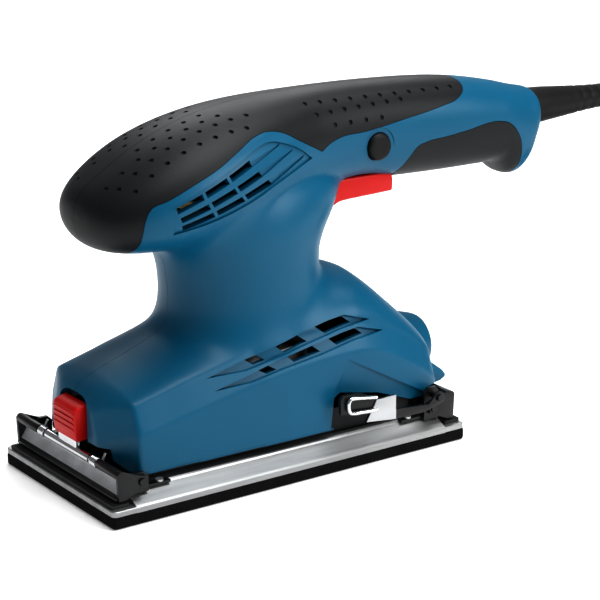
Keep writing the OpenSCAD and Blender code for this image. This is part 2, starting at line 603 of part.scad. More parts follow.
// ---- switch and wiring ----
trigger_side = [[37, 99.6], [40.4, 99.6], [41.6, 103.4], [44.6, 106.8], [49.6, 108.6], [76.6, 109.4],
    [76.8, 115], [75.6, 118.4], [44, 118.4], [39.4, 116.6], [37.4, 110]];
module trigger() color(red) difference() {
    union() {
        along_y(-10, 10) polygon(trigger_side);
        translate([58, 0, 117]) cylinder(r = 3, h = 9);
    }
    translate([69, 0, 111.4]) cylinder(r = 4.6, h = 10);
}
module switch_body() color(black) difference() {
    block([48, -9, 124.2], [82, 9, 145]);
    translate([58, 0, 120]) cylinder(r = 3.06, h = 13);
    rod_y(61, 133, -12, -3, 2.56);
}
module trigger_spring() color(steel) translate([69, 0, 111.5]) spring(3.8, 0.45, 12.6, 5);
module lock_button() color(black) union() {
    rod_y(61, 133, -21.6, -14.4, 6);
    rod_y(61, 133, -15.9, -14.4, 7.4);
    rod_y(61, 133, -15, -6.4, 2.5);
}
module lock_spring() color(steel) translate([61, -14.3, 133]) rotate([-90, 0, 0]) spring(4.4, 0.35, 5.2, 3);
module capacitor() color([0.75, 0.7, 0.3]) block([96, -6, 121], [122, 6, 134]);
module switch_leads() color([0.2, 0.3, 0.7]) for (s = [-1, 1]) union() {
    tube([[82, 5 * s, 138], [88, 5 * s, 139], [96, 6 * s, 140.5], [106, 6 * s, 140.5],
        [114, 4 * s, 139.4], [120, 2.2 * s, 137.4], [124, 1.8 * s, 136.4]], 1.2, 6, [0, 0.3, 1]);
}
module cord_clamp() color(black) difference() {
    block([clamp_x - 4, -10.2, 139], [clamp_x + 4, 10.2, 142.4]);
    rod_x(0, boot_z, 120, 150, cord_d / 2 + 0.02);
    for (y = clamp_screw_y) translate([clamp_x, y, 130]) cylinder(r = 1.6, h = 20);
}
module clamp_screws() color(steel) for (y = clamp_screw_y) translate([clamp_x, y, 0]) {
    at_z(128, 15, 1.5);
    at_z(142.4, 1.8, 2.5);
}
boot_end = handle_end + boot_l;
module cord_inner_end() color(black) rod_x(0, boot_z, 124.6, boot_end, cord_d / 2);
module cord_boot() color(black) difference() {
    translate([0, 0, boot_z]) rotate([0, 90, 0]) rotate_extrude() polygon([[0, 143], [10, 143],
        [10, 148], [8.6, 148], [8.6, 163], [8.4, 169], [7.7, 178], [6.9, 188], [6.1, 198],
        [5.6, 208], [5.4, boot_end - 1], [4.7, boot_end], [0, boot_end]]);
    rod_x(0, boot_z, 140, boot_end + 5, cord_d / 2 + 0.01);
}

// ---- cord and plug ----
module cord_run() color(black) {
    tube(cord_run_pts, cord_d / 2, 10);
    tube(cord_tail_pts, cord_d / 2, 10);
}
module cord_coil() color(black) translate([coil_at[0], coil_at[1], 0]) rotate_extrude()
    translate([coil_in, 0]) square([coil_out - coil_in, coil_h]);
// Strap over the coil, in the form of an arch
module cord_tie() color(black) translate([coil_at[0], coil_at[1], 0]) rotate([0, 0, 200]) intersection() {
    block([coil_in - 2, -5, 0], [coil_out + 2, 5, coil_h + 1.6]);
    rotate_extrude() difference() {
        translate([coil_in - 1.6, 0]) square([coil_out - coil_in + 3.2, coil_h + 1.6]);
        translate([coil_in - 0.05, -1]) square([coil_out - coil_in + 0.1, coil_h + 1.05]);
    }
}
plug_at = [314, -36, 44];
module plug_body() color(black) translate(plug_at) rotate([90, 0, -90]) union() {
    cylinder(r1 = 6, r2 = 12, h = 22);
    translate([0, 0, 22]) linear_extrude(30) intersection() {
        circle(r = 18.5);
        square([37, 24], center = true);
    }
}
module plug_pins() color(steel) for (s = [-9.5, 9.5])
    rod_x(plug_at[1] + s, plug_at[2], plug_at[0] - 71, plug_at[0] - 52, 2.4);

left_housing();
right_housing();
left_grip_skin();
right_grip_skin();
housing_screws();
dust_seal();
dust_duct();
dust_outlet();
plate_mounts();
motor_bearing_plate();
stator_core();
field_coils();
brush_holders();
carbon_brushes();
brush_springs();
upper_bearing_outer_race();
lower_bearing_outer_race();
upper_bearing_cup();
switch_body();
trigger();
trigger_spring();
lock_button();
lock_spring();
capacitor();
switch_leads();
cord_clamp();
clamp_screws();
cord_inner_end();
cord_boot();
motor_shaft();
armature_core();
armature_windings();
commutator();
cooling_fan();
dust_fan();
counterweight();
journal_circlip();
upper_bearing_inner_race();
lower_bearing_inner_race();
plate_bearing_inner_race();
bearing_balls();
sanding_plate();
foam_pad();
plate_bearing_outer_race();
bearing_retainer();
retainer_screws();
clamp_strips();
clamp_brackets();
bracket_rivets();
front_clamp_bar();
front_lever_wire();
front_lever_grip();
rear_clamp_bar();
rear_lever_wire();
rear_lever_arm();
cord_run();
cord_coil();
cord_tie();
plug_body();
plug_pins();
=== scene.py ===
import json
import math

import bmesh
import bpy
import numpy as np
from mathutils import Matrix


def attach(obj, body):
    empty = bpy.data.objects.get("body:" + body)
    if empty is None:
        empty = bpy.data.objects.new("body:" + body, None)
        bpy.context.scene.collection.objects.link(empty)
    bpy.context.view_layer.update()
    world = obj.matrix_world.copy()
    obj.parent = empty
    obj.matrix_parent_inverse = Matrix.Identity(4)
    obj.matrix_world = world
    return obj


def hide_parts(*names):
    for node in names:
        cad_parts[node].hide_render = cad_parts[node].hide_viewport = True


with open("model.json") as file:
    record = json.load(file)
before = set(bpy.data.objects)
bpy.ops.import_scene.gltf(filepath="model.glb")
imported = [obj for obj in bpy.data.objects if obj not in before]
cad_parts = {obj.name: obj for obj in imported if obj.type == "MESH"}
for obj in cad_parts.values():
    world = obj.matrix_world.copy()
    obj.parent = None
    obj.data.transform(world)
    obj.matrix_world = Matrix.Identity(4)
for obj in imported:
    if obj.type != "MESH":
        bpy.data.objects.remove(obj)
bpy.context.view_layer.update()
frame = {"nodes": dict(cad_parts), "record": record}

MM = 0.001

# ---- Camera, light and floor ----
# The camera looks at the tool's left side from the nose end, a little from above. Three square lights
# and a matt floor with a faint glow of its own make a soft white studio.
scene = bpy.context.scene
scene.view_settings.view_transform = "Standard"
scene.view_settings.gamma = 0.74
camera = bpy.data.objects.new("camera", bpy.data.cameras.new("camera"))
camera.location = (-0.4672, -0.7024, 0.3218)
camera.rotation_euler = (math.radians(90 - 16.658), 0, math.radians(-35.455))
camera.data.lens = 122.04
scene.collection.objects.link(camera)
scene.camera = camera

world = bpy.data.worlds.new("studio")
world.use_nodes = True
world.node_tree.nodes["Background"].inputs["Color"].default_value = (0.95, 0.97, 1.0, 1)
world.node_tree.nodes["Background"].inputs["Strength"].default_value = 0.3
scene.world = world


def softbox(name, place, aim, width, watts):
    """A square studio light at place, turned towards aim, both in metres."""
    light = bpy.data.lights.new(name, "AREA")
    light.size = width
    light.energy = watts
    lamp = bpy.data.objects.new(name, light)
    lamp.location = place
    way = (np.array(place) - np.array(aim)) / np.linalg.norm(np.array(place) - np.array(aim))
    lamp.rotation_euler = (math.acos(way[2]), 0, math.atan2(way[0], -way[1]))
    scene.collection.objects.link(lamp)


softbox("top_light", (0.2, -0.15, 1.15), (0, 0, 0.08), 0.9, 16)
softbox("side_light", (0.62, -0.95, 0.62), (0.03, 0, 0.08), 0.6, 9.5)
softbox("back_light", (0.7, 1.15, 0.95), (0.5, 0.8, 0), 0.9, 10)


class Value:
    """A shader socket that can stand in Python sums."""

    def __init__(self, finish, socket):
        self.finish = finish
        self.socket = socket

    def sum(self, operation, *values):
        return self.finish.node("Math", {"operation": operation}, dict(enumerate(values)))

    def __add__(self, other):
        return self.sum("ADD", self, other)

    def __sub__(self, other):
        return self.sum("SUBTRACT", self, other)

    def __rsub__(self, other):
        return self.sum("SUBTRACT", other, self)

    def __mul__(self, other):
        return self.sum("MULTIPLY", self, other)

    def __gt__(self, other):
        return self.sum("GREATER_THAN", self, other)

    __radd__ = __add__
    __rmul__ = __mul__


class Finish:
    """One surface finish: a principled shader and the nodes that vary it."""

    def __init__(self, name):
        self.material = bpy.data.materials.new(name)
        self.material.use_nodes = True
        self.tree = self.material.node_tree
        self.shader = self.tree.nodes["Principled BSDF"]
        self.place = self.node("TexCoord", {}, {}, "Object")

    def node(self, kind, settings, values, output=0):
        made = self.tree.nodes.new("ShaderNode" + kind)
        for name, value in settings.items():
            setattr(made, name, value)
        for socket, value in values.items():
            self.join(made.inputs[socket], value)
        return Value(self, made.outputs[output])

    def join(self, socket, value):
        if isinstance(value, Value):
            self.tree.links.new(value.socket, socket)
        else:
            socket.default_value = value

    def noise(self, per_metre, detail=2.0, stretch=(1, 1, 1)):
        along = self.node("Mapping", {}, {"Vector": self.place, "Scale": stretch})
        return self.node("TexNoise", {}, {"Vector": along, "Scale": per_metre, "Detail": detail}, "Fac")

    def axis(self, name):
        return self.node("SeparateXYZ", {}, {"Vector": self.place}, name)

    def blend(self, share, one, other):
        return self.node("Mix", {"data_type": "RGBA"}, {0: share, 6: one, 7: other}, 2)

    def bump(self, height, depth):
        return self.node("Bump", {}, {"Strength": 1.0, "Distance": depth, "Height": height}, "Normal")

    def set(self, **values):
        for name, value in values.items():
            self.join(self.shader.inputs[name.replace("_", " ")], value)
        return self.material


def paint(red, green, blue):
    """Screen colours from 0 to 255 as the linear colour that a shader takes."""
    return tuple((c / 255 / 12.92) if c < 10.3 else ((c / 255 + 0.055) / 1.055) ** 2.4
                 for c in (red, green, blue)) + (1,)


def flat_mesh(name, points, faces):
    """A new piece from points in millimetres."""
    mesh = bpy.data.meshes.new(name)
    mesh.from_pydata((np.array(points, float) * MM).tolist(), [], faces)
    piece = bpy.data.objects.new(name, mesh)
    scene.collection.objects.link(piece)
    return piece


floor_half, floor_z = 4000, -0.3
corners = [[x * floor_half, y * floor_half, floor_z] for x, y in ((-1, -1), (1, -1), (1, 1), (-1, 1))]
floor = flat_mesh("floor", corners, [[0, 1, 2, 3]])
pale = Finish("pale_floor")
pale_grey = pale.blend(pale.noise(3), (0.9, 0.9, 0.9, 1), (0.93, 0.93, 0.93, 1))
floor.data.materials.append(pale.set(Base_Color=pale_grey, Roughness=0.8, Emission_Color=(1, 1, 1, 1),
                                     Emission_Strength=0.26))

# ---- Mains cord ----
# Rubber lead, 8 mm thick. It hangs from the strain relief in one loose curve and its spare
# length is wound into a round coil of two columns, four turns high, with the plug laid on top.
cord_d = 8
coil_mid = (306, 0)
run_points = [[218, 0, 136], [229, 0, 135.6], [239, 1, 133.5], [248, 3, 129], [256, 6, 122], [262, 10, 113],
              [266, 15, 102], [268.5, 20.5, 90], [270.8, 26.2, 78], [274, 32.2, 66.4], [278.4, 38.4, 55.8],
              [284.6, 44.6, 46.8], [292.4, 49.6, 39.4], [301.2, 52.2, 34.2], [310.4, 52.5, 30.9]]
tail_points = [[350.3, 5, 34.6], [350.4, -2, 36], [349.2, -10, 38], [345.6, -18.4, 40.2], [339.6, -26, 42],
               [331.6, -31.8, 43.4], [322.6, -35.2, 43.9], [314, -36, 44]]


def stations(rows, gap):
    """Rows on a smooth curve through the given rows, gap millimetres apart."""
    rows = np.array(rows, float)
    run = np.r_[0, np.cumsum(np.linalg.norm(np.diff(rows[:, :4], axis=0), axis=1))]
    slope = np.gradient(rows, run, axis=0)
    at = np.linspace(0, run[-1], int(run[-1] / gap) + 1)
    k = np.clip(np.searchsorted(run, at, side="right") - 1, 0, len(run) - 2)
    h = (run[k + 1] - run[k])[:, None]
    t = (at - run[k])[:, None] / h
    return ((1 + 2 * t) * (1 - t) ** 2 * rows[k] + t * (1 - t) ** 2 * h * slope[k]
            + t * t * (3 - 2 * t) * rows[k + 1] + t * t * (t - 1) * h * slope[k + 1])


def ease(value, start, end):
    """0 before start, 1 after end, and smooth between them."""
    t = np.clip((value - start) / (end - start), 0, 1)
    return t * t * (3 - 2 * t)


def coil_turns(first, last):
    """Points round the coil, clockwise from above, from the first wound angle to the last, in degrees."""
    points = []
    turn_pitch = 8.06
    outer_r, inner_r = 52.6, 44.4
    plug_lift = 6.4
    for wound in np.arange(first, last, 3):
        # The outer column goes down a layer late in each turn, then the inner column climbs
        out_layer = sum(ease(wound, 310 + 360 * k, 360 + 360 * k) for k in range(3))
        in_layer = sum(ease(wound, 1570 + 360 * k, 1620 + 360 * k) for k in range(3))
        radius = outer_r + (inner_r - outer_r) * ease(wound, 1320, 1405)
        lift = plug_lift * ease(wound, 2440, last + 30)
        settling = 1.22 * (max(32 - wound, 0) / 24) ** 2
        z = cord_d / 2 + turn_pitch * (3 - out_layer + in_layer) + settling + lift
        angle = math.radians(85 - wound)
        points.append([coil_mid[0] + radius * math.cos(angle), coil_mid[1] + radius * math.sin(angle), z])
    return points


route = run_points + coil_turns(8, 2590) + tail_points[1:]
route = stations(route, 3.0) * MM
curve = bpy.data.curves.new("cord", "CURVE")
curve.dimensions = "3D"
curve.bevel_depth = cord_d / 2 * MM
curve.bevel_resolution = 3
curve.use_fill_caps = True
spline = curve.splines.new("POLY")
spline.points.add(len(route) - 1)
for point, place in zip(spline.points, route):
    point.co = (*place, 1)
cord = bpy.data.objects.new("cord", curve)
scene.collection.objects.link(cord)
lead = Finish("cord_rubber")
grain = lead.noise(900)
lead_black = lead.set(Base_Color=lead.blend(grain, paint(9, 9, 10), paint(17, 17, 18)),
                      Roughness=0.45 + grain * 0.15, Specular_IOR_Level=0.3,
                      Normal=lead.bump(grain, 0.00005))
curve.materials.append(lead_black)
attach(cord, "housing")
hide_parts("cord_run", "cord_coil")


# ---- Plug ----
# Moulded plug with two round pins. The body swells from the cord's sleeve to a flat, rounded
# block with finger grooves on its sides.
def oval(half_w, half_h, fullness, count):
    """A closed ring of points, round at fullness 2 and squarer above it."""
    a = 2 * np.pi * (np.arange(count) + 0.5) / count
    c, s = np.cos(a), np.sin(a)
    return np.c_[half_w * np.sign(c) * abs(c) ** (2 / fullness),
                 half_h * np.sign(s) * abs(s) ** (2 / fullness)]


def loft(name, rings):
    """A closed solid through rings of equal length."""
    rings = np.array(rings)
    m, n = rings.shape[:2]
    i = np.arange(n)
    faces = [[j * n + a, j * n + (a + 1) % n, (j + 1) * n + (a + 1) % n, (j + 1) * n + a]
             for j in range(m - 1) for a in range(n)]
    faces += [i[::-1].tolist(), ((m - 1) * n + i).tolist()]
    piece = flat_mesh(name, rings.reshape(-1, 3), faces)
    face_out(piece)
    return piece


def face_out(piece):
    """Turns every face outwards."""
    work = bmesh.new()
    work.from_mesh(piece.data)
    bmesh.ops.recalc_face_normals(work, faces=work.faces)
    work.to_mesh(piece.data)
    work.free()


def settle(piece, sharp=35):
    """Applies a piece's modifiers and shades it smooth, with creases over the given angle."""
    made = bpy.data.meshes.new_from_object(piece.evaluated_get(bpy.context.evaluated_depsgraph_get()))
    piece.modifiers.clear()
    piece.data = made
    made.shade_smooth()
    made.set_sharp_from_angle(angle=math.radians(sharp))


def dress(piece, material, body):
    """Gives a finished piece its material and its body."""
    piece.data.materials.clear()
    piece.data.materials.append(material)
    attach(piece, body)


plug_rows = [[0, 5.4, 5.4, 2], [4, 6, 6, 2], [6, 6.2, 6.2, 2], [12, 8.6, 7.6, 2.1], [18, 12.6, 9.8, 2.3],
             [23, 17, 11.6, 2.8], [28, 18.2, 12, 3], [40, 18.4, 12, 3], [50, 17.8, 11.6, 3],
             [52, 16.6, 10.6, 3]]
plug_mid = (314, -36, 44)
plug_length = plug_rows[-1][0]
pin_spacing = 19
rings = []
for x, half_w, half_h, fullness in stations(plug_rows, 1.0):
    groove = 0.5 * math.cos(x * 2 * math.pi / 4) if 27 < x < 47 else 0
    ring = oval(half_w + groove, half_h, fullness, 48)
    rings.append(np.c_[np.full(48, plug_mid[0] - x), plug_mid[1] + ring[:, 0], plug_mid[2] + ring[:, 1]])
plug = loft("plug", rings)
settle(plug, 50)
dress(plug, lead_black, "housing")
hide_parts("plug_body")

chrome = Finish("chromed_steel")
haze = chrome.noise(140, 3)
chrome_bright = chrome.set(Base_Color=chrome.blend(haze, (0.66, 0.66, 0.66, 1), (0.54, 0.55, 0.56, 1)),
                           Metallic=1.0, Roughness=0.12 + haze * 0.1)


def turned(name, profile, place, axis, count=32):
    """A solid turned round an axis through place. The profile is (distance along, radius) rows."""
    rings = []
    for along, radius in profile:
        ring = oval(radius, radius, 2, count)
        flat = np.c_[np.full(count, along), ring]
        order = {"x": [0, 1, 2], "y": [2, 0, 1], "z": [1, 2, 0]}[axis]
        rings.append(flat[:, order] + np.array(place))
    return loft(name, rings)


def merged(name, parts):
    """One piece from several, which are used up."""
    with bpy.context.temp_override(active_object=parts[0], selected_editable_objects=parts):
        bpy.ops.object.join()
    parts[0].name = name
    return parts[0]


pin_profile = [[0, 2.4], [-17, 2.4], [-18.4, 1.9], [-19, 0.8]]
prongs = []
for half in (-pin_spacing / 2, pin_spacing / 2):
    foot = (plug_mid[0] - plug_length, plug_mid[1] + half, plug_mid[2])
    prongs.append(turned("prong", pin_profile, foot, "x", 24))
pins = merged("plug_prongs", prongs)
settle(pins)
dress(pins, chrome_bright, "housing")
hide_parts("plug_pins")

# ---- Cord tie ----
# Woven black strap with a hook face, closed round the coil's bundle. It is one rounded ring, about
# 1 mm thick, flat where it stands on the floor.
bundle_mid = np.array([48.5, 16.5])
tie_ring = oval(9.6, 17.3, 3.4, 40) + bundle_mid
tie_inner = oval(8.6, 16.3, 3.4, 40) + bundle_mid
rings = []
for half in (-5, 5):
    rings.append([[r, half, max(z, 0)] for r, z in tie_ring])
for half in (5, -5):
    rings.append([[r, half, max(z, 0.4)] for r, z in tie_inner])
rings = np.array(rings, float)
turn = math.radians(200)
x = coil_mid[0] + rings[..., 0] * math.cos(turn) - rings[..., 1] * math.sin(turn)
y = coil_mid[1] + rings[..., 0] * math.sin(turn) + rings[..., 1] * math.cos(turn)
rings = np.stack([x, y, rings[..., 2]], axis=-1)
n = rings.shape[1]
tie = flat_mesh("cord_strap", rings.reshape(-1, 3),
                [[j * n + a, j * n + (a + 1) % n, (j + 1) % 4 * n + (a + 1) % n, (j + 1) % 4 * n + a]
                 for j in range(4) for a in range(n)])
face_out(tie)
settle(tie, 40)
weave = Finish("strap_weave")
rib = weave.node("TexWave", {"bands_direction": "Z"},
                 {"Vector": weave.place, "Scale": 420.0, "Distortion": 1.0}, "Fac")
dress(tie, weave.set(Base_Color=weave.blend(rib, paint(18, 18, 19), paint(44, 44, 46)), Roughness=0.85,
                     Normal=weave.bump(rib, 0.0002)), "housing")
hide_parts("cord_tie")

# ---- Strain relief ----
# Tapered rubber boot round the cord, clamped in the handle's end. Shallow rings near its thin end
# let it bend.
boot_profile = [[143, 8.6], [163, 8.6], [169, 8.4], [178, 7.7], [188, 6.9], [198, 6.1], [208, 5.6],
                [216, 5.3], [218, 4.6]]
cord_axis = (0, 0, 136)
rows = stations(boot_profile, 1.0)
for row in rows:
    row[1] -= 0.22 * ease(row[0], 186, 190) * (math.sin((row[0] - 186) * 2 * math.pi / 6) > 0.3)
boot = turned("cord_boot_sleeve", rows, cord_axis, "x", 48)
settle(boot, 60)
dress(boot, lead_black, "housing")
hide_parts("cord_boot")
cord_length = float(np.linalg.norm(np.diff(route, axis=0), axis=1).sum())

# ---- Housing form ----
# The two halves and the soft skins share one outer form: palm and handle, neck, hood and rear lip,
# run together with soft fillets. Stations are in millimetres.
# A row is x, low, top, half width and fullness, where 2 is an ellipse
palm_and_handle = [
    [-79.3, 115.5, 120.5, 4, 2], [-78.2, 111, 124.6, 11.5, 2], [-75.5, 107, 128.4, 19, 2],
    [-70.5, 103.8, 132.2, 26, 2.1], [-63, 101.8, 137, 31.5, 2.2], [-54, 100.8, 142.2, 35, 2.25],
    [-44, 100.6, 147, 36.6, 2.3], [-32, 101, 151.4, 36.8, 2.3], [-20, 102.2, 154.6, 35.4, 2.3],
    [-8, 104, 156.8, 32.8, 2.3], [5, 107, 158.2, 29.2, 2.3], [18, 110.5, 158.9, 25.4, 2.3],
    [30, 113.6, 159.2, 22.4, 2.3], [44, 116, 159.3, 20.7, 2.3], [60, 117, 159.1, 20, 2.3],
    [76, 115, 158.5, 19.8, 2.4], [92, 114.3, 157.7, 19.8, 2.4], [106, 114, 156.6, 19.8, 2.4],
    [118, 113.9, 155.1, 19.6, 2.4], [128, 113.8, 153.4, 19.2, 2.4], [138.5, 113.4, 151.2, 18.6, 2.4],
    [142, 110.4, 150.4, 18.2, 2.4], [146, 107, 149.3, 17.6, 2.4], [151, 106.8, 148, 16.6, 2.3],
    [154.5, 109.6, 147.2, 15.8, 2.3], [157.5, 116.5, 146.6, 15, 2.2], [159.8, 122, 146, 13.8, 2.2],
    [161, 125, 145.4, 12.4, 2.2]]
# A row is z, front, rear and half width
neck = [
    [54, -47, 47, 36], [60, -41.5, 43, 34.6], [66, -37.4, 39.6, 32.8], [72, -35.8, 37.6, 31.7],
    [80, -35.7, 36.8, 31.2], [88, -36.4, 36.6, 31.2], [94, -38, 37, 31.8], [99, -40.4, 38.6, 32.6],
    [104, -43.4, 41.8, 33], [109, -45.6, 45.6, 32.6], [114, -46.4, 48.4, 31.4], [120, -45, 49, 29],
    [126, -42, 46, 25], [132, -38, 40, 20]]
# A row is x, half width, crest, top and the roof's fullness
hood = [
    [-82.4, 19.4, 37, 43.4, 2.1], [-79.2, 24.8, 40.6, 47.4, 1.9], [-75.8, 30.6, 42.8, 49.4, 1.7],
    [-72.4, 36.4, 44.2, 51, 1.5], [-68, 36.6, 45.2, 52.6, 1.5], [-58, 36.9, 47.4, 56.2, 1.5],
    [-45, 37.4, 50.3, 61.5, 1.5], [-30, 37.8, 53.4, 67, 1.5], [-15, 38.2, 56.4, 72, 1.6],
    [0, 38.4, 58.6, 76, 1.7], [15, 38.5, 60.2, 79, 1.8], [30, 38.5, 61, 81.4, 1.9],
    [42, 38.5, 60.6, 81.6, 1.8], [50, 38.3, 58.4, 78.6, 1.8], [58, 38, 54.6, 73.2, 1.8],
    [66, 37.5, 50, 66.2, 1.8], [74, 36.5, 45, 58.8, 1.8], [80, 35, 40.6, 53.2, 1.8],
    [84, 33, 37, 48.6, 1.8], [86, 30.5, 34, 45, 1.8]]
hood_low = 16
fold_drop = 11.5
crest_in = 4.6


def grip_form(name, inset, gap=1.2, count=96):
    rings = []
    for x, low, top, half, fullness in stations(palm_and_handle, gap):
        ring = oval(max(half - inset, 2), max((top - low) / 2 - inset, 1.5), fullness, count)
        shift = inset * (min(1, max(0, (-40 - x) / 34)) - min(1, max(0, (x - 140) / 24)))
        rings.append(np.c_[np.full(count, x + shift), ring[:, 0], (low + top) / 2 + ring[:, 1]])
    return loft(name, rings)


def neck_form(name, inset, gap=1.2, count=96):
    rings = []
    for z, front, rear, half in stations(neck, gap):
        ring = oval((rear - front) / 2 - inset, half - inset, 2.05, count)
        rings.append(np.c_[(front + rear) / 2 + ring[:, 0], ring[:, 1], np.full(count, z)])
    return loft(name, rings)


def hood_form(name, inset, gap=1.2, roof_count=40):
    rings = []
    angle = np.pi * np.arange(roof_count + 1) / roof_count
    c, s = np.cos(angle), np.maximum(np.sin(angle), 0)
    # The corner behind the nose face stays sharp
    for x, half, crest, top, fullness in np.r_[stations(hood[:4], gap), stations(hood[3:], gap)[1:]]:
        w, k = half - inset, 2 / fullness
        crest, top, low = crest - inset * 0.8, top - inset * 1.15, hood_low - (inset > 0)
        roof = np.c_[(w - crest_in) * np.sign(c) * abs(c) ** k, crest + (top - crest) * s ** k]
        side = np.c_[np.full(12, w), np.linspace(low, crest - fold_drop, 12)]
        bevel = np.c_[np.linspace(w, w - crest_in, 6)[1:-1], np.linspace(crest - fold_drop, crest, 6)[1:-1]]
        base = np.c_[np.linspace(-w, w, 22)[1:-1], np.full(20, low)]
        half_way = np.r_[side, bevel]
        section = np.r_[half_way, roof, half_way[::-1] * [-1, 1], base]
        shift = inset if x < -70 else -inset if x > 82 else 0
        rings.append(np.c_[np.full(len(section), x + shift), section])
    return loft(name, rings)


def prism(name, outline, low, high, axis="y"):
    """A flat outline pushed along an axis: (x, z) along y, (y, z) along x or (x, y) along z."""
    order = {"y": [0, 2, 1], "x": [2, 0, 1], "z": [0, 1, 2]}[axis]
    rings = [np.c_[np.array(outline, float), np.full(len(outline), at)][:, order] for at in (low, high)]
    return loft(name, rings)


def box(name, low, high):
    return prism(name, [[low[0], low[2]], [high[0], low[2]], [high[0], high[2]], [low[0], high[2]]],
                 low[1], high[1])


def carve(piece, operation, tools):
    """Cuts tools from a solid, adds them or keeps what they share. The tools are used up."""
    for tool in tools:
        change = piece.modifiers.new(tool.name, "BOOLEAN")
        change.solver = "MANIFOLD"
        change.operation = operation
        change.object = tool
    made = bpy.data.meshes.new_from_object(piece.evaluated_get(bpy.context.evaluated_depsgraph_get()))
    piece.modifiers.clear()
    piece.data = made
    for tool in tools:
        bpy.data.objects.remove(tool)
    return piece


def copy_of(piece, name, inset=0.0):
    """A copy of a form, with its surface moved inwards by some millimetres."""
    twin = bpy.data.objects.new(name, piece.data.copy())
    scene.collection.objects.link(twin)
    if inset:
        count = len(twin.data.vertices)
        place = np.empty(count * 3)
        normal = np.empty(count * 3)
        twin.data.vertices.foreach_get("co", place)
        twin.data.vertex_normals.foreach_get("vector", normal)
        twin.data.vertices.foreach_set("co", place - normal * inset * MM)
    return twin


def relax(piece, share, turns):
    """Evens a surface out. share says how much each point may follow its neighbours."""
    mesh = piece.data
    count = len(mesh.vertices)
    place = np.empty(count * 3)
    mesh.vertices.foreach_get("co", place)
    place = place.reshape(-1, 3)
    edges = np.empty(len(mesh.edges) * 2, int)
    mesh.edges.foreach_get("vertices", edges)
    a, b = edges.reshape(-1, 2).T
    near = np.bincount(a, minlength=count) + np.bincount(b, minlength=count)
    strength = share(*(place / MM).T)[:, None]
    for _ in range(turns):
        total = np.empty_like(place)
        for k in range(3):
            total[:, k] = np.bincount(a, place[b, k], count) + np.bincount(b, place[a, k], count)
        place += (total / near[:, None] - place) * strength
    mesh.vertices.foreach_set("co", place.ravel())
    mesh.update()


lip_outline = [[78, 20.5], [92, 21.4], [96, 23.5], [94, 26.5], [84, 34], [78, 34]]
form = merged("housing_form", [grip_form("palm", 0), neck_form("neck", 0), hood_form("hood", 0),
                               prism("lip", lip_outline, -27, 27)])
grid = form.modifiers.new("grid", "REMESH")
grid.mode = "VOXEL"
grid.voxel_size = 0.85 * MM
settle(form, 180)


def crest_at(x):
    rows = np.array(hood)
    return np.interp(x, rows[:, 0], rows[:, 2])


def fillet_share(x, y, z):
    """How far each point gives way: only where the neck meets the palm and the hood."""
    rows = np.array(neck)
    middle = np.interp(z, rows[:, 0], (rows[:, 1] + rows[:, 2]) / 2)
    length = np.interp(z, rows[:, 0], (rows[:, 2] - rows[:, 1]) / 2)
    width = np.interp(z, rows[:, 0], rows[:, 3])
    out = (np.hypot((x - middle) / length, y / width) - 1) * width
    under_palm = ease(z, 92, 100) * (1 - ease(z, 112, 122)) * (1 - ease(abs(out), 10, 22))
    over_hood = ease(z - crest_at(x), 1.5, 5) * (1 - ease(z, 78, 86)) * (1 - ease(out, 8, 14))
    return np.maximum(under_palm, over_hood) * 0.9


relax(form, lambda x, y, z: np.full(len(x), 0.5), 3)
relax(form, fillet_share, 90)


def mirrored(tools_on):
    """Tools for both sides, from a function of the side, -1 for left and 1 for right."""
    return [tool for side in (-1, 1) for tool in tools_on(side)]


def side_prism(name, outline, side, near_y=12, far_y=60):
    return prism(name, outline, *sorted((side * near_y, side * far_y)))


# Vents: three rows in a leaf-shaped panel on the palm, two rows in long channels on the hood
leaf_low = [[-52.6, 113.6], [-48.8, 114.2], [-35.1, 116.6], [-20.5, 120.2], [-8.9, 123.6], [-2.2, 126],
            [10.8, 130], [22.2, 133.8]]
leaf_top = [[22.2, 133.8], [14, 139.4], [5, 143], [-2, 144.6], [-9, 143.6], [-18, 140.2], [-30, 135.4],
            [-42, 130.4], [-53.4, 125.6]]
leaf = np.r_[stations(leaf_low, 2)[:-1], stations(leaf_top, 2)]
palm_slots = [[[-51.8, 124.8], [-15.1, 139.1], [-13.4, 136.4], [-51.2, 122.3]],
              [[-50.2, 120.6], [-10.4, 134.1], [-8.2, 131.5], [-49.2, 118.4]],
              [[-49.2, 117], [-4.7, 129.6], [-2.2, 127.1], [-48.2, 114.9]]]
hood_channels = [[[-38, 50.4], [-24, 53.9], [-9, 57.4], [8, 61.2], [24, 64.2], [33, 65.2], [46, 61.2],
                  [30, 59.6], [13, 56.6], [-5, 53.2], [-20, 50.6]],
                 [[-36, 45], [-20, 48.6], [-5, 52.3], [14, 55.6], [30, 58.2], [39, 59.2], [53, 55.2],
                  [36, 54.2], [18, 51.2], [-2, 48.6], [-18, 45.8]]]
hood_slots = [[[-21.9, 54.6], [-13.8, 56.3], [-9.2, 53.1], [-17.4, 51.6]],
              [[-8.9, 57.2], [7.6, 60.9], [12.8, 57.1], [-5.1, 53.6]],
              [[11.4, 61.7], [31.6, 65], [36.5, 61.1], [16.6, 57.7]],
              [[-16.3, 49.6], [-9.3, 51.2], [-4.6, 48.5], [-11.7, 47.1]],
              [[-4.4, 52.3], [14.2, 55.5], [18.3, 52.1], [-1.5, 49.2]],
              [[17, 56.1], [37.4, 58.9], [41.6, 55.7], [21, 52.3]]]


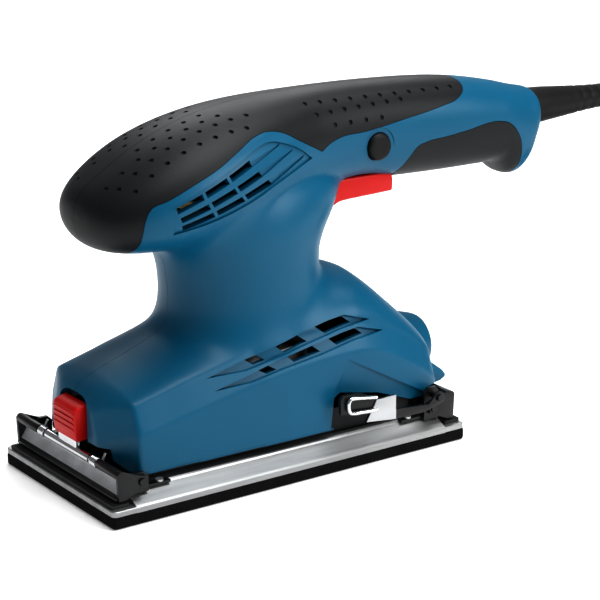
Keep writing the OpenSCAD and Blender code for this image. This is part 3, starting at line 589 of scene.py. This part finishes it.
def thirds(quad, rib):
    """Three slots along a row, with ribs of the given width between them."""
    top = np.array([quad[0], quad[1]], float)
    low = np.array([quad[3], quad[2]], float)
    length = np.linalg.norm(top[1] - top[0])
    slots = []
    for k in range(3):
        a, b = k / 3 + rib / 2 / length * (k > 0), (k + 1) / 3 - rib / 2 / length * (k < 2)
        slots.append([top[0] + (top[1] - top[0]) * a, top[0] + (top[1] - top[0]) * b,
                      low[0] + (low[1] - low[0]) * b, low[0] + (low[1] - low[0]) * a])
    return slots


def vent_slots(side):
    rows = [slot for quad in palm_slots for slot in thirds(quad, 1.5)]
    # The hood's holes leave the front part of each recess blind
    blind_share = 0.3
    for quad in np.array(hood_slots):
        quad[0] += (quad[1] - quad[0]) * blind_share
        quad[3] += (quad[2] - quad[3]) * blind_share
        rows.append(quad)
    return [side_prism("slot", slot, side) for slot in rows]


# Recesses stop at a bed that follows the surface
shallow = mirrored(lambda side: [side_prism("leaf", leaf, side)])
shallow = carve(merged("leaf_tool", shallow), "DIFFERENCE", [copy_of(form, "leaf_bed", 0.9)])
leaf_grooves = [[[-17, 137.6], [-13.4, 136.4], [2, 141.9], [4, 143]],
                [[-12, 133.4], [-8.2, 131.5], [9, 138.4], [11, 139.6]],
                [[-6, 128.8], [-2.2, 127.1], [16.5, 134.6], [18, 136]]]
grooves = hood_channels + leaf_grooves
deep = mirrored(lambda side: [side_prism("channel", outline, side) for outline in grooves])
deep = carve(merged("channel_tool", deep), "DIFFERENCE", [copy_of(form, "channel_bed", 1.7)])

palm_edge = [[-64.5, 88], [-64.4, 100], [-64.4, 109], [-64.7, 115.6], [-63.8, 121], [-61.5, 125],
             [-54.7, 128], [-43.5, 133], [-31, 138], [-19.7, 143], [-9.5, 147], [-3, 148.2], [4, 147.4],
             [15.9, 141.7], [28.6, 135.4]]
handle_edge = [[28.6, 135.4], [33, 138], [39, 139.8], [54, 140.6], [76, 143.4], [97, 146.4], [108, 148.8],
               [113.5, 152.6], [114.6, 158], [113, 170]]
palm_outline = np.r_[[[-90, 88]], stations(palm_edge, 1.5)[:-1], stations(handle_edge, 1.5), [[-90, 170]]]
hook_edge = [[70, 100], [72.5, 113], [76.3, 120.5], [79.3, 126], [83, 130.4], [87.4, 131.8], [99, 132.9],
             [113, 134.5], [123, 136], [130, 136], [136.5, 134.4], [141.5, 130.4], [144.5, 125.7],
             [146.5, 118], [147, 100]]
hook_outline = stations(hook_edge, 1.5)


def shrunk(outline, by):
    """An outline moved in by some millimetres all round."""
    outline = np.array(outline)
    along = np.roll(outline, -1, axis=0) - np.roll(outline, 1, axis=0)
    along /= np.linalg.norm(along, axis=1)[:, None]
    area = np.sum(outline[:, 0] * np.roll(outline[:, 1], -1) - outline[:, 1] * np.roll(outline[:, 0], -1))
    return outline + np.sign(area) * by * np.c_[-along[:, 1], along[:, 0]]


skin_depth = 2.0
bed = copy_of(form, "skin_bed", skin_depth)
skin_room = merged("skin_room",
                   [prism("palm_room", palm_outline, -60, 60), prism("hook_room", hook_outline, -60, 60)])
skin_room = carve(skin_room, "DIFFERENCE", [copy_of(bed, "bed_copy")])

# ---- Housing halves ----
# Moulded blue nylon shells, about 3 mm thick, split along the middle and screwed together from the
# right. They are open for the trigger, the lock button, the levers, the clamps and the dust port.
clear_y = 0.09
cavity = carve(neck_form("cavity", 3, 3, 40), "UNION", [hood_form("hood_room", 3, 3, 16),
                                                        grip_form("grip_room", 4.2, 3, 40)])
arch = [[-11.2, 10], [11.2, 10]] + [[y, 38.2 + max(z, 0)] for y, z in oval(11.2, 6.2, 2.9, 40)[:20]]
front_rise = [[-34, 10], [-34, hood_low], [-25.6, 21], [-24.6, 25.6], [24.6, 25.6], [25.6, 21],
              [34, hood_low], [34, 10]]
lever_pocket = [[23.4, 10], [23.4, 29.4], [28, 32], [49, 27.6], [68, 20.5], [90, 20.5], [90, 10]]
well_radius, well_depth = 3.9, 2.7
# x, z and how far out the surface lies
screw_spots = [[-58, 121, 25], [24, 126, 18], [88, 149, 11], [124, 148.5, 12], [148, 116, 8], [50, 63, 30],
               [-66, 35, 29]]


def rod(name, place, radius, low, high, axis="y", count=32):
    return turned(name, [[low, radius], [high, radius]], place, axis, count)


def screw_wells():
    """Tools for the wells of the case screws, open to the right."""
    return [rod("screw_well", (x, 0, z), well_radius, y - well_depth, 60) for x, z, y in screw_spots]


def side_half(whole, name, side):
    """What a solid has on one side of the seam."""
    near, far = sorted((side * clear_y, side * 80))
    return carve(copy_of(whole, name), "INTERSECT", [box("half_room", (-120, near, 0), (200, far, 200))])


trigger_room = (35.6, -10.6, 97), (77.6, 10.6, 124)
boot_bore = cord_axis, 8.9, 141, 180, "x"
port_axis = (0, 0, 33)
tools = [cavity, box("trigger_room", *trigger_room), rod("boot_bore", *boot_bore),
         prism("lever_arch", arch, -90, -76, "x"), prism("front_rise", front_rise, -91, -71, "x"),
         rod("port_seat", port_axis, 17, 76, 120, "x", 64),
         box("over_rear_clamp", (70, -60, 10), (120, 60, 20.4))]
tools += mirrored(lambda side: [side_prism("lever_pocket", lever_pocket, side, 32, 50)])
for low, high in ((26.4, 61.6), (-61.6, -26.4)):
    tools.append(box("roll_room", (79.2, low, 10), (100, high, 24.6)))
tools += screw_wells()
tools += mirrored(vent_slots)
# The facet over the rear lever: x, z and how far out it lies
facet = [[30.9, 46.9, 38.3], [79, 20.7, 35], [62, 17, 35.6], [22, 17, 36.6], [24, 34, 37]]


def facet_tool(side):
    """All that stands outside the facet."""
    far, near = [[x, side * 60, z] for x, z, y in facet], [[x, side * y, z] for x, z, y in facet]
    return [loft("facet", [far, near])]


tools += mirrored(facet_tool)
shell = carve(copy_of(form, "shell"), "DIFFERENCE", tools + [shallow, deep, copy_of(skin_room, "room_copy")])

nylon = Finish("blue_nylon")
tone = nylon.noise(16, 3)
pores = nylon.noise(2600, 1)
rubbed = nylon.noise(70, 4)
blue_nylon = nylon.set(Base_Color=nylon.blend(tone, paint(2, 86, 114), paint(8, 97, 128)),
                       Roughness=0.3 + rubbed * 0.14, Specular_IOR_Level=0.32,
                       Normal=nylon.bump(pores, 0.00003))
button_axis = (61, 0, 133)
for side, name in ((-1, "left"), (1, "right")):
    half = side_half(shell, name + "_shell", side)
    if side < 0:
        carve(half, "DIFFERENCE", [rod("button_bore", button_axis, 6.4, -30, -10),
                                   rod("button_dish", button_axis, 8.4, -30, -19.5, "y", 48)])
    settle(half, 32)
    dress(half, blue_nylon, "housing")
    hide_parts(name + "_housing")

# ---- Soft grip skins ----
# Rubber moulded over the palm, the handle's top and the inside of its hook, with rows of small
# pressed-in dots for grip.
# Rows on the palm: how far from the seam, first x, last x and count
palm_dots = [[23.3, -64, -10.4, 8], [16.8, -67.7, -6.3, 9], [11.3, -70.6, -16.9, 8], [5, -51.8, -21.9, 5]]
# Rows on the handle: (x, z) of the first and the last, and count
handle_dots = [[(24.9, 155.2), (106, 153.4), 11], [(28.2, 150.8), (75.3, 151.7), 7],
               [(36.9, 145.6), (62.8, 145.6), 4]]


def grip_section(x):
    """The palm and handle at x: middle height, half height, half width and fullness."""
    rows = np.array(palm_and_handle)
    low, top, half, fullness = [np.interp(x, rows[:, 0], rows[:, k]) for k in range(1, 5)]
    return (low + top) / 2, (top - low) / 2, half, fullness


dot_points = []
for across, first, last, count in palm_dots:
    for x in np.linspace(first, last, count):
        middle, tall, half, fullness = grip_section(x)
        z = middle + tall * (1 - (across / half) ** fullness) ** (1 / fullness)
        dot_points += [[x, side * across, z] for side in (-1, 1)]
for start, end, count in handle_dots:
    for x, z in np.linspace(start, end, count):
        middle, tall, half, fullness = grip_section(x)
        across = half * (1 - (min(abs(z - middle) / tall, 0.985)) ** fullness) ** (1 / fullness)
        dot_points += [[x, side * across, z] for side in (-1, 1)]


def repeat_tree(name, inputs, build):
    """A node tree with the given inputs, that build() fills."""
    tree = bpy.data.node_groups.new(name, "GeometryNodeTree")
    tree.interface.new_socket("Geometry", in_out="INPUT", socket_type="NodeSocketGeometry")
    for label, (kind, value) in inputs.items():
        socket = tree.interface.new_socket(label, in_out="INPUT", socket_type="NodeSocket" + kind)
        if value is not None:
            socket.default_value = value
    tree.interface.new_socket("Geometry", in_out="OUTPUT", socket_type="NodeSocketGeometry")
    start = tree.nodes.new("NodeGroupInput")
    end = tree.nodes.new("NodeGroupOutput")

    def add(kind, values, output=0, **settings):
        made = tree.nodes.new(kind)
        for label, value in settings.items():
            setattr(made, label, value)
        for label, value in values.items():
            if isinstance(value, bpy.types.NodeSocket):
                tree.links.new(value, made.inputs[label])
            else:
                made.inputs[label].default_value = value
        return made.outputs[output]

    shape = build(add, start.outputs)
    whole = add("GeometryNodeRealizeInstances", {"Geometry": shape})
    named = add("GeometryNodeSetMaterial", {"Geometry": whole, "Material": start.outputs["Material"]})
    tree.links.new(named, end.inputs[0])
    return tree


def grown(name, points, tree, **values):
    """A plain mesh that a node tree makes from points in millimetres."""
    piece = flat_mesh(name, points, [])
    nodes = piece.modifiers.new("grow", "NODES")
    nodes.node_group = tree
    by_label = {item.name: item.identifier for item in tree.interface.items_tree if item.in_out == "INPUT"}
    for label, value in values.items():
        nodes[by_label[label]] = value
    settle(piece)
    return piece


soft = Finish("grip_rubber")
mottle = soft.noise(22, 4)
fine = soft.noise(1900, 2)
grip_rubber = soft.set(Base_Color=soft.blend(mottle, paint(16, 18, 20), paint(25, 27, 29)),
                       Roughness=0.38 + mottle * 0.16, Specular_IOR_Level=0.32,
                       Normal=soft.bump(fine, 0.00006))


def dots(add, given):
    ball = add("GeometryNodeMeshIcoSphere", {"Radius": given["Radius"], "Subdivisions": 3})
    return add("GeometryNodeInstanceOnPoints", {"Points": given["Geometry"], "Instance": ball})


dot_radius = 1.1 * MM
dot_tree = repeat_tree("pressed_dots", {"Radius": ("Float", dot_radius), "Material": ("Material", None)},
                       dots)
dot_tool = grown("dot_tool", dot_points, dot_tree, Radius=dot_radius, Material=grip_rubber)
skin_gap = 0.22
skin_blocks = merged("skin_blocks", [prism("palm_block", shrunk(palm_outline, skin_gap), -60, 60),
                                     prism("hook_block", shrunk(hook_outline, skin_gap), -60, 60)])
skin = carve(copy_of(form, "skin"), "DIFFERENCE", [bed])
skin = carve(skin, "INTERSECT", [skin_blocks])
skin = carve(skin, "DIFFERENCE", [dot_tool, rod("boot_bore", *boot_bore), box("trigger_room", *trigger_room)]
             + screw_wells())
for side, name in ((-1, "left"), (1, "right")):
    half = side_half(skin, name + "_skin", side)
    settle(half, 40)
    dress(half, grip_rubber, "housing")
    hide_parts(name + "_grip_skin")
for spent in (form, shell, skin, skin_room):
    bpy.data.objects.remove(spent)


# ---- Trigger ----
# Red moulded plastic paddle under the handle, with a round stem that pushes the switch. It slides
# upwards in the shells.
def rounded(piece, width, segments=3, angle=30, sharp=40):
    """Rounds a solid's edges over the given angle, and settles it."""
    edge = piece.modifiers.new("edge", "BEVEL")
    edge.width = width * MM
    edge.segments = segments
    edge.limit_method = "ANGLE"
    edge.angle_limit = math.radians(angle)
    settle(piece, sharp)
    return piece


red = Finish("red_plastic")
scuff = red.noise(60, 4)
red_plastic = red.set(Base_Color=red.blend(scuff, paint(190, 14, 12), paint(206, 22, 18)),
                      Roughness=0.32 + scuff * 0.12, Specular_IOR_Level=0.32,
                      Normal=red.bump(red.noise(2400, 1), 0.00002))
inside_curve = [[40.4, 99.6], [41.2, 103], [43.6, 106.4], [47, 108.1], [52, 108.7]]
trigger_outline = np.r_[[[37, 99.6]], stations(inside_curve, 1.2),
                        [[76.6, 109.4], [76.8, 115], [75.6, 118.4], [44, 118.4], [39.4, 116.6],
                         [37.4, 110]]]
paddle = rounded(prism("trigger_paddle", trigger_outline, -10, 10), 1.1)
stem = rod("stem", (58, 0, 0), 2.9, 117, 126, "z")
paddle = merged("trigger_paddle", [paddle, stem])
dress(paddle, red_plastic, "trigger")
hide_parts("trigger")

# ---- Lock-on button ----
# Black moulded cap with a soft dome, in a round dish on the left of the handle. A collar inside the
# shell keeps it in, and a stem runs inwards.
button_profile = [[-6.4, 2.5], [-14.3, 2.5], [-14.4, 7.2], [-15.8, 7.2], [-16, 6], [-20.2, 6], [-20.9, 5.6],
                  [-21.3, 4.8], [-21.45, 3.2], [-21.3, 1.2]]
button = turned("lock_cap", button_profile, button_axis, "y", 40)
settle(button, 40)
black = Finish("black_plastic")
cloud = black.noise(40, 3)
black_plastic = black.set(Base_Color=black.blend(cloud, paint(11, 11, 12), paint(21, 21, 22)),
                          Roughness=0.42 + cloud * 0.14, Specular_IOR_Level=0.3,
                          Normal=black.bump(black.noise(2400, 1), 0.00003))
dress(button, black_plastic, "lock_button")
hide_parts("lock_button")

# ---- Dust port ----
# Blue nylon spout at the back of the hood, rounded outside, with a lead-in at its mouth for the bag's
# nozzle. It is cut off flat above the rear clamp.
port_rows = [[79.6, 16.6], [83, 16.5], [87, 16], [91, 15.1], [94.5, 14.1], [97.4, 13.1], [98.6, 12.3],
             [99, 11.2]]
port = turned("dust_spout", stations(port_rows, 0.8), port_axis, "x", 72)
carve(port, "DIFFERENCE",
      [turned("bore", [[70, 9.5], [97.9, 9.5], [99.4, 10.6], [120, 10.6]], port_axis, "x", 64),
       box("under", (60, -60, 0), (120, 60, 20.6))])
settle(port, 32)
dress(port, blue_nylon, "housing")
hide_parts("dust_outlet")

# ---- Foam pad ----
# Black closed-cell foam, 5 mm thick, glued under the plate. The sanding sheet lies on its flat
# underside.
half_l, half_w = 91, 46


def plate_outline(inset, corner, count=7):
    points = []
    for sx, sy, start in ((1, 1, 0), (-1, 1, 90), (-1, -1, 180), (1, -1, 270)):
        for a in np.radians(np.linspace(start, start + 90, count)):
            points.append([sx * (half_l - inset - corner) + corner * math.cos(a),
                           sy * (half_w - inset - corner) + corner * math.sin(a)])
    return points


def stack(name, rows):
    """A solid of flat outlines: (height, inset, corner radius) rows."""
    return loft(name, [[[x, y, z] for x, y in plate_outline(inset, corner)] for z, inset, corner in rows])


pad = stack("pad_foam", [[0, 0.5, 1.6], [0.3, 0.15, 1.6], [0.9, 0, 1.6], [4.3, 0, 1.6], [5, 0.2, 1.6]])
settle(pad, 50)
foam = Finish("pad_foam")
cells = foam.node("TexVoronoi", {}, {"Vector": foam.place, "Scale": 1500.0}, "Distance")
shade_of = foam.noise(200, 3)
foam_black = foam.set(Base_Color=foam.blend(cells * shade_of * 2, paint(8, 7, 8), paint(24, 23, 24)),
                      Roughness=0.9, Specular_IOR_Level=0.15, Normal=foam.bump(cells, 0.00025))
dress(pad, foam_black, "sole")
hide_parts("foam_pad")

# ---- Sanding plate ----
# Die-cast aluminium plate: a thin straight edge, sloped borders along both sides and a flat top with
# the bearing's pocket. The sides are brushed lengthwise.
edge_rows = [[-46, 5.1], [-46, 7.2], [-45.7, 7.6], [-44.6, 8.05], [-37.8, 11.5], [-37.3, 12.3],
             [-36.6, 12.7], [-35.9, 12.6], [-35.3, 12]]
section = edge_rows + [[-y, z] for y, z in edge_rows[::-1]]
plate = prism("plate_casting", section, -80, 80, "x")
ledge = stack("ledge", [[5.05, 0.3, 2], [5.3, 0, 2.2], [7.3, 0, 2.2], [7.6, 0.3, 2]])
plate_axis = (1.2, 0, 0)
pocket = rod("pocket", plate_axis, 19, 11, 22.5, "z", 64)
carve(plate, "UNION", [ledge, pocket])
carve(plate, "DIFFERENCE",
      [rod("seat", plate_axis, 12.4, 12, 26, "z", 64), rod("race", plate_axis, 14, 14.5, 28, "z", 64)])
settle(plate, 28)
metal = Finish("brushed_aluminium")
streaks = metal.noise(260, 4, (0.06, 1, 1))
blotch = metal.noise(38, 3)
cast_metal = metal.set(Base_Color=metal.blend(streaks, paint(186, 186, 185), paint(126, 127, 128)),
                       Metallic=0.85, Roughness=0.3 + blotch * 0.25,
                       Normal=metal.bump(streaks * 0.7 + metal.noise(1200, 2) * 0.3, 0.00006))
dress(plate, cast_metal, "sole")
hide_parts("sanding_plate")

# ---- Clamp strips ----
# Ribbed rubber on the plate's end ledges, which stops the sheet's ends from slipping. Each strip is a
# low base with nine ribs along it.
strip_rubber = Finish("strip_rubber")
dust = strip_rubber.noise(150, 3)
ribbed = strip_rubber.set(Base_Color=strip_rubber.blend(dust, paint(34, 34, 36), paint(52, 52, 54)),
                          Roughness=0.75, Normal=strip_rubber.bump(strip_rubber.noise(2200, 2), 0.00008))


def ribs(add, given):
    bar = add("GeometryNodeMeshCube", {"Size": given["Size"]})
    return add("GeometryNodeInstanceOnPoints", {"Points": given["Geometry"], "Instance": bar})


rib_tree = repeat_tree("strip_ribs", {"Size": ("Vector", (1, 1, 1)), "Material": ("Material", None)}, ribs)
first_rib, rib_pitch = 82.6, 0.9
rib_points = [[side * (first_rib + rib_pitch * k), 0, 9.05] for side in (-1, 1) for k in range(9)]
rib_bars = grown("ribs", rib_points, rib_tree, Size=(0.45 * MM, 85.6 * MM, 0.5 * MM), Material=ribbed)
bases = [box("base", (82, -43, 7.6), (90, 43, 8.9)), box("base", (-90, -43, 7.6), (-82, 43, 8.9))]
strips = merged("ribbed_strips", [rounded(base, 0.25, 2) for base in bases] + [rib_bars])
dress(strips, ribbed, "sole")
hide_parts("clamp_strips")

# ---- Paper clamps ----
# Bars of bent sheet steel, blackened, with a rolled top edge that holds the lever's wire. The nose bar's
# face has a painted highlight, a pale band for the light it reflects. A pin hole goes through the two end
# cheeks.
gun = Finish("blackened_steel")
height = gun.axis("Z")
wear_and_highlight = gun.noise(120, 4)
across = gun.axis("Y")
# Painted highlight: a pale band across the nose bar's face for the studio light it reflects; the tail bar
# has none
bright = (height > 0.0122) * (1 - (height > 0.0182))
bright = bright * (1 - (across.sum("ABSOLUTE", across) > 0.0413)) * (1 - (gun.axis("X") > 0))
black_with_painted_highlight = gun.blend(bright * (0.45 + wear_and_highlight * 0.6), paint(10, 10, 11), paint(225, 227, 229))
clamp_steel = gun.set(Base_Color=black_with_painted_highlight, Metallic=bright * 0.4, Roughness=0.24 + wear_and_highlight * 0.2)


roll_x, roll_z = 85, 20.8
wire_radius, wire_hole_radius = 1.1, 1.16
cheek_in, cheek_out = 41.5, 43


def clamp(name, body, node, facing, roll_from, lowered):
    """One clamp bar, facing -1 at the nose and 1 at the rear: bent face, roll and two end cheeks."""
    face = [[84.4, 19], [83.2, 16.2], [84.2, 14.6], [85.9, 11.9], [87.5, 11.3], [87.5, 10.3], [85, 10.4],
            [83.5, 12.9], [81.9, 16], [83.2, 20.2]]
    parts = [prism("face", [[facing * x, z] for x, z in face], -cheek_in, cheek_in)]
    for side in (-1, 1):
        ends = sorted((side * cheek_out, side * roll_from))
        parts.append(rod("roll", (facing * roll_x, 0, roll_z), 2.1, *ends, "y", 28))
        cheek = [[86.6, 10.3], [87, 20], [84, 22.6], [77, 19.6], [73.2, 18.6], [73.2, 14.6], [77.4, 12.8],
                 [83.4, 10.3]]
        parts.append(prism("cheek", [[facing * x, z] for x, z in cheek],
                           *sorted((side * cheek_out, side * cheek_in))))
    bar = carve(parts[0], "UNION", parts[1:])
    cuts = [rod("pin_hole", (facing * 75.5, 0, 16.5), 1.56, -60, 60),
            rod("wire_hole", (facing * roll_x, 0, roll_z), wire_hole_radius, -42, 42)]
    carve(bar, "DIFFERENCE", cuts + lowered)
    rounded(bar, 0.25, 2, 50, 35)
    bar.name = name
    dress(bar, clamp_steel, body)
    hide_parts(node)


clamp("nose_clamp", "front_clamp", "front_clamp_bar", -1, 25,
      [box("lever_gap", (-90, -19, 18.4), (-80, 19, 24))])
clamp("tail_clamp", "rear_clamp", "rear_clamp_bar", 1, 29,
      [box("low_middle", (80, -28.6, 18.6), (90, 28.6, 26))])


# ---- Front lever ----
# Chromed wire through the clamp's roll, with a small spring wound on each side of the middle. The red
# moulded finger cap sits on a flat shank.
def tube(name, points, radius, count=12):
    """A round wire along points in millimetres."""
    points = np.array(points, float)
    along = np.gradient(points, axis=0)
    along /= np.linalg.norm(along, axis=1)[:, None]
    side = np.cross(along[0], [0.13, 0.21, 0.97])
    rings = []
    for place, way in zip(points, along):
        side = side - way * (side @ way)
        side /= np.linalg.norm(side)
        up = np.cross(way, side)
        ring = oval(radius, radius, 2, count)
        rings.append(place + ring[:, :1] * side + ring[:, 1:] * up)
    return loft(name, rings)


roll_axis = (-roll_x, 0, roll_z)
wire_parts = [rod("wire", roll_axis, wire_radius, -34, 34, "y", 20),
              rod("sleeve", roll_axis, 1.9, -18, 18, "y", 28),
              rounded(box("shank", (-86, -7.4, 21), (-83.4, 7.4, 28)), 0.4)]
spring_r, spring_pitch = 1.75, 1.15
for side in (-1, 1):
    turns = [[spring_r * math.cos(a) - roll_x, side * (19.6 + spring_pitch * a / (2 * math.pi)),
              roll_z + spring_r * math.sin(a)] for a in np.linspace(0, 8 * math.pi, 97)]
    hook = [[-83.2, side * 24.3, 21.6], [-82.4, side * 24.4, 23], [-81.6, side * 24.4, 24.6]]
    wire_parts += [tube("spring", turns, 0.5, 10), tube("hook", stations(hook, 0.4), 0.6, 10)]
wire = merged("nose_lever_wire", wire_parts)
settle(wire, 40)
dress(wire, chrome_bright, "front_lever")
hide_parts("front_lever_wire")

cap_side = [[-86.6, 25.4], [-87.3, 30], [-87, 38.6], [-86, 40], [-80.6, 41.4], [-79.6, 40], [-79.8, 27],
            [-81.4, 25.4]]
cap = rounded(prism("cap", cap_side, -9.2, 9.2), 0.8)
ridge_points = [[-87.15, 0, 30.6 + 2.3 * k] for k in range(4)]
ridge_bars = grown("ridges", ridge_points, rib_tree, Size=(1.0 * MM, 16.4 * MM, 0.95 * MM),
                   Material=red_plastic)
finger_cap = merged("nose_finger_cap", [cap, rounded(ridge_bars, 0.3, 2)])
dress(finger_cap, red_plastic, "front_lever")
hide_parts("front_lever_grip")

# ---- Rear lever ----
# Steel arm on a pivot pin, black apart from one bright zinc-plated stretch, with a chromed wire loop
# for the finger and a black tab in it. Towards the pivot the black is partly painted shade under the hood.
zinc = Finish("zinc_plate")
spangle = zinc.node("TexVoronoi", {}, {"Vector": zinc.place, "Scale": 160.0}, "Distance")
zinc_plate = zinc.set(Base_Color=zinc.blend(spangle, paint(172, 173, 176), paint(206, 206, 206)),
                      Metallic=0.8, Roughness=0.3 + spangle * 0.14)
zinc_black_and_shade = Finish("arm_zinc_black_and_painted_shade")
span = zinc_black_and_shade.axis("X")
# Zinc only on this stretch of the outer face; the black past it, towards the pivot, is black steel and
# painted shade
plated = (span > 0.0352) * (1 - (span > 0.0517)) * (1 - (zinc_black_and_shade.axis("Y") > -0.0455))
arm_steel = zinc_black_and_shade.set(Base_Color=zinc_black_and_shade.blend(plated, paint(12, 12, 13), paint(186, 187, 188)),
                       Metallic=plated * 0.8, Roughness=0.26 + zinc_black_and_shade.noise(80, 3) * 0.16)
arm_side = [[35.6, 19.4], [41, 28.4], [51.6, 28.8], [51.6, 22], [70, 20.4], [76, 25.4], [79, 24], [79, 20.6],
            [76, 19.4], [68, 17.4], [51.6, 17.6]]
tab_side = [[22.4, 25], [22.2, 32], [24, 33.4], [33, 32.8], [44, 28], [44, 24]]
arm = carve(prism("tail_lever_arm", arm_side, -46, -44.6), "UNION", [prism("tab", tab_side, -45.2, -43.4)])
carve(arm, "DIFFERENCE", [rod("pivot", (76, 0, 22.6), 1.46, -60, 0)])
rounded(arm, 0.3, 2, 50)
dress(arm, arm_steel, "rear_lever")
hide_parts("rear_lever_arm")
loop_y = -47.1
loop_side = [[40, 24.6], [36, 24.8], [32, 25.1], [28, 25.4], [26, 26], [25.2, 27.4], [25, 29], [25.2, 30.8],
             [26, 31.9], [28, 32.1], [32, 31.6], [36, 31], [40, 30.4]]
finger_loop = tube("tail_finger_loop", stations([[x, loop_y, z] for x, z in loop_side], 0.5), 0.9, 14)
settle(finger_loop, 40)
dress(finger_loop, chrome_bright, "rear_lever")
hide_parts("rear_lever_wire")

# ---- Carried-over pieces ----
# Screws, brackets, seal and the enclosed motor and switch pieces keep their own shape. Each gets the
# finish of its slot, and the brackets get the rear arm's black.
steel = Finish("ground_steel")
lathe = steel.noise(500, 2)
bearing_steel = steel.set(Base_Color=steel.blend(lathe, paint(180, 181, 183), paint(206, 206, 207)),
                          Metallic=0.95, Roughness=0.2 + lathe * 0.16)
stack_steel = Finish("core_laminations")
layers = stack_steel.node("TexWave", {"bands_direction": "Z"},
                          {"Vector": stack_steel.place, "Scale": 500.0}, "Fac")
core_steel = stack_steel.set(Base_Color=stack_steel.blend(layers, paint(92, 94, 98), paint(128, 130, 134)),
                             Metallic=0.8, Roughness=0.45, Normal=stack_steel.bump(layers, 0.0001))
enamel = Finish("enamelled_copper")
strands = enamel.noise(900, 2, (1, 1, 0.05))
copper = enamel.set(Base_Color=enamel.blend(strands, paint(176, 96, 44), paint(214, 140, 82)), Metallic=0.8,
                    Roughness=0.3 + strands * 0.2, Normal=enamel.bump(strands, 0.0001))
stamped = Finish("brush_brass")
tarnish = stamped.noise(90, 3)
brass = stamped.set(Base_Color=stamped.blend(tarnish, paint(196, 160, 78), paint(222, 190, 110)),
                    Metallic=0.9, Roughness=0.28 + tarnish * 0.2)
pressed = Finish("pressed_carbon")
carbon = pressed.set(Base_Color=pressed.blend(pressed.noise(800, 3), paint(26, 26, 27), paint(46, 46, 48)),
                     Roughness=0.7)
film = Finish("capacitor_film")
ochre = film.set(Base_Color=film.blend(film.noise(60, 2), paint(190, 160, 60), paint(206, 178, 84)),
                 Roughness=0.3)
sheath = Finish("lead_sheath")
lead_blue = sheath.set(Base_Color=sheath.blend(sheath.noise(90, 2), paint(40, 70, 160), paint(54, 88, 178)),
                       Roughness=0.35)
finishes = {"blue_plastic": blue_nylon, "grip_rubber": grip_rubber, "black_plastic": black_plastic,
            "red_plastic": red_plastic, "cord_rubber": lead_black, "cast_aluminium": cast_metal,
            "zinc_steel": zinc_plate, "chromed_wire": chrome_bright, "bearing_steel": bearing_steel,
            "core_steel": core_steel, "copper_wire": copper, "brush_brass": brass, "carbon": carbon,
            "spring_steel": bearing_steel, "capacitor_film": ochre, "lead_sheath": lead_blue}
for part in frame["record"]["subparts"]:
    node = frame["nodes"][part["node"]]
    node.data.materials.clear()
    node.data.materials.append(finishes.get(part["material_slot"], black_plastic))
frame["nodes"]["clamp_brackets"].data.materials[0] = arm_steel
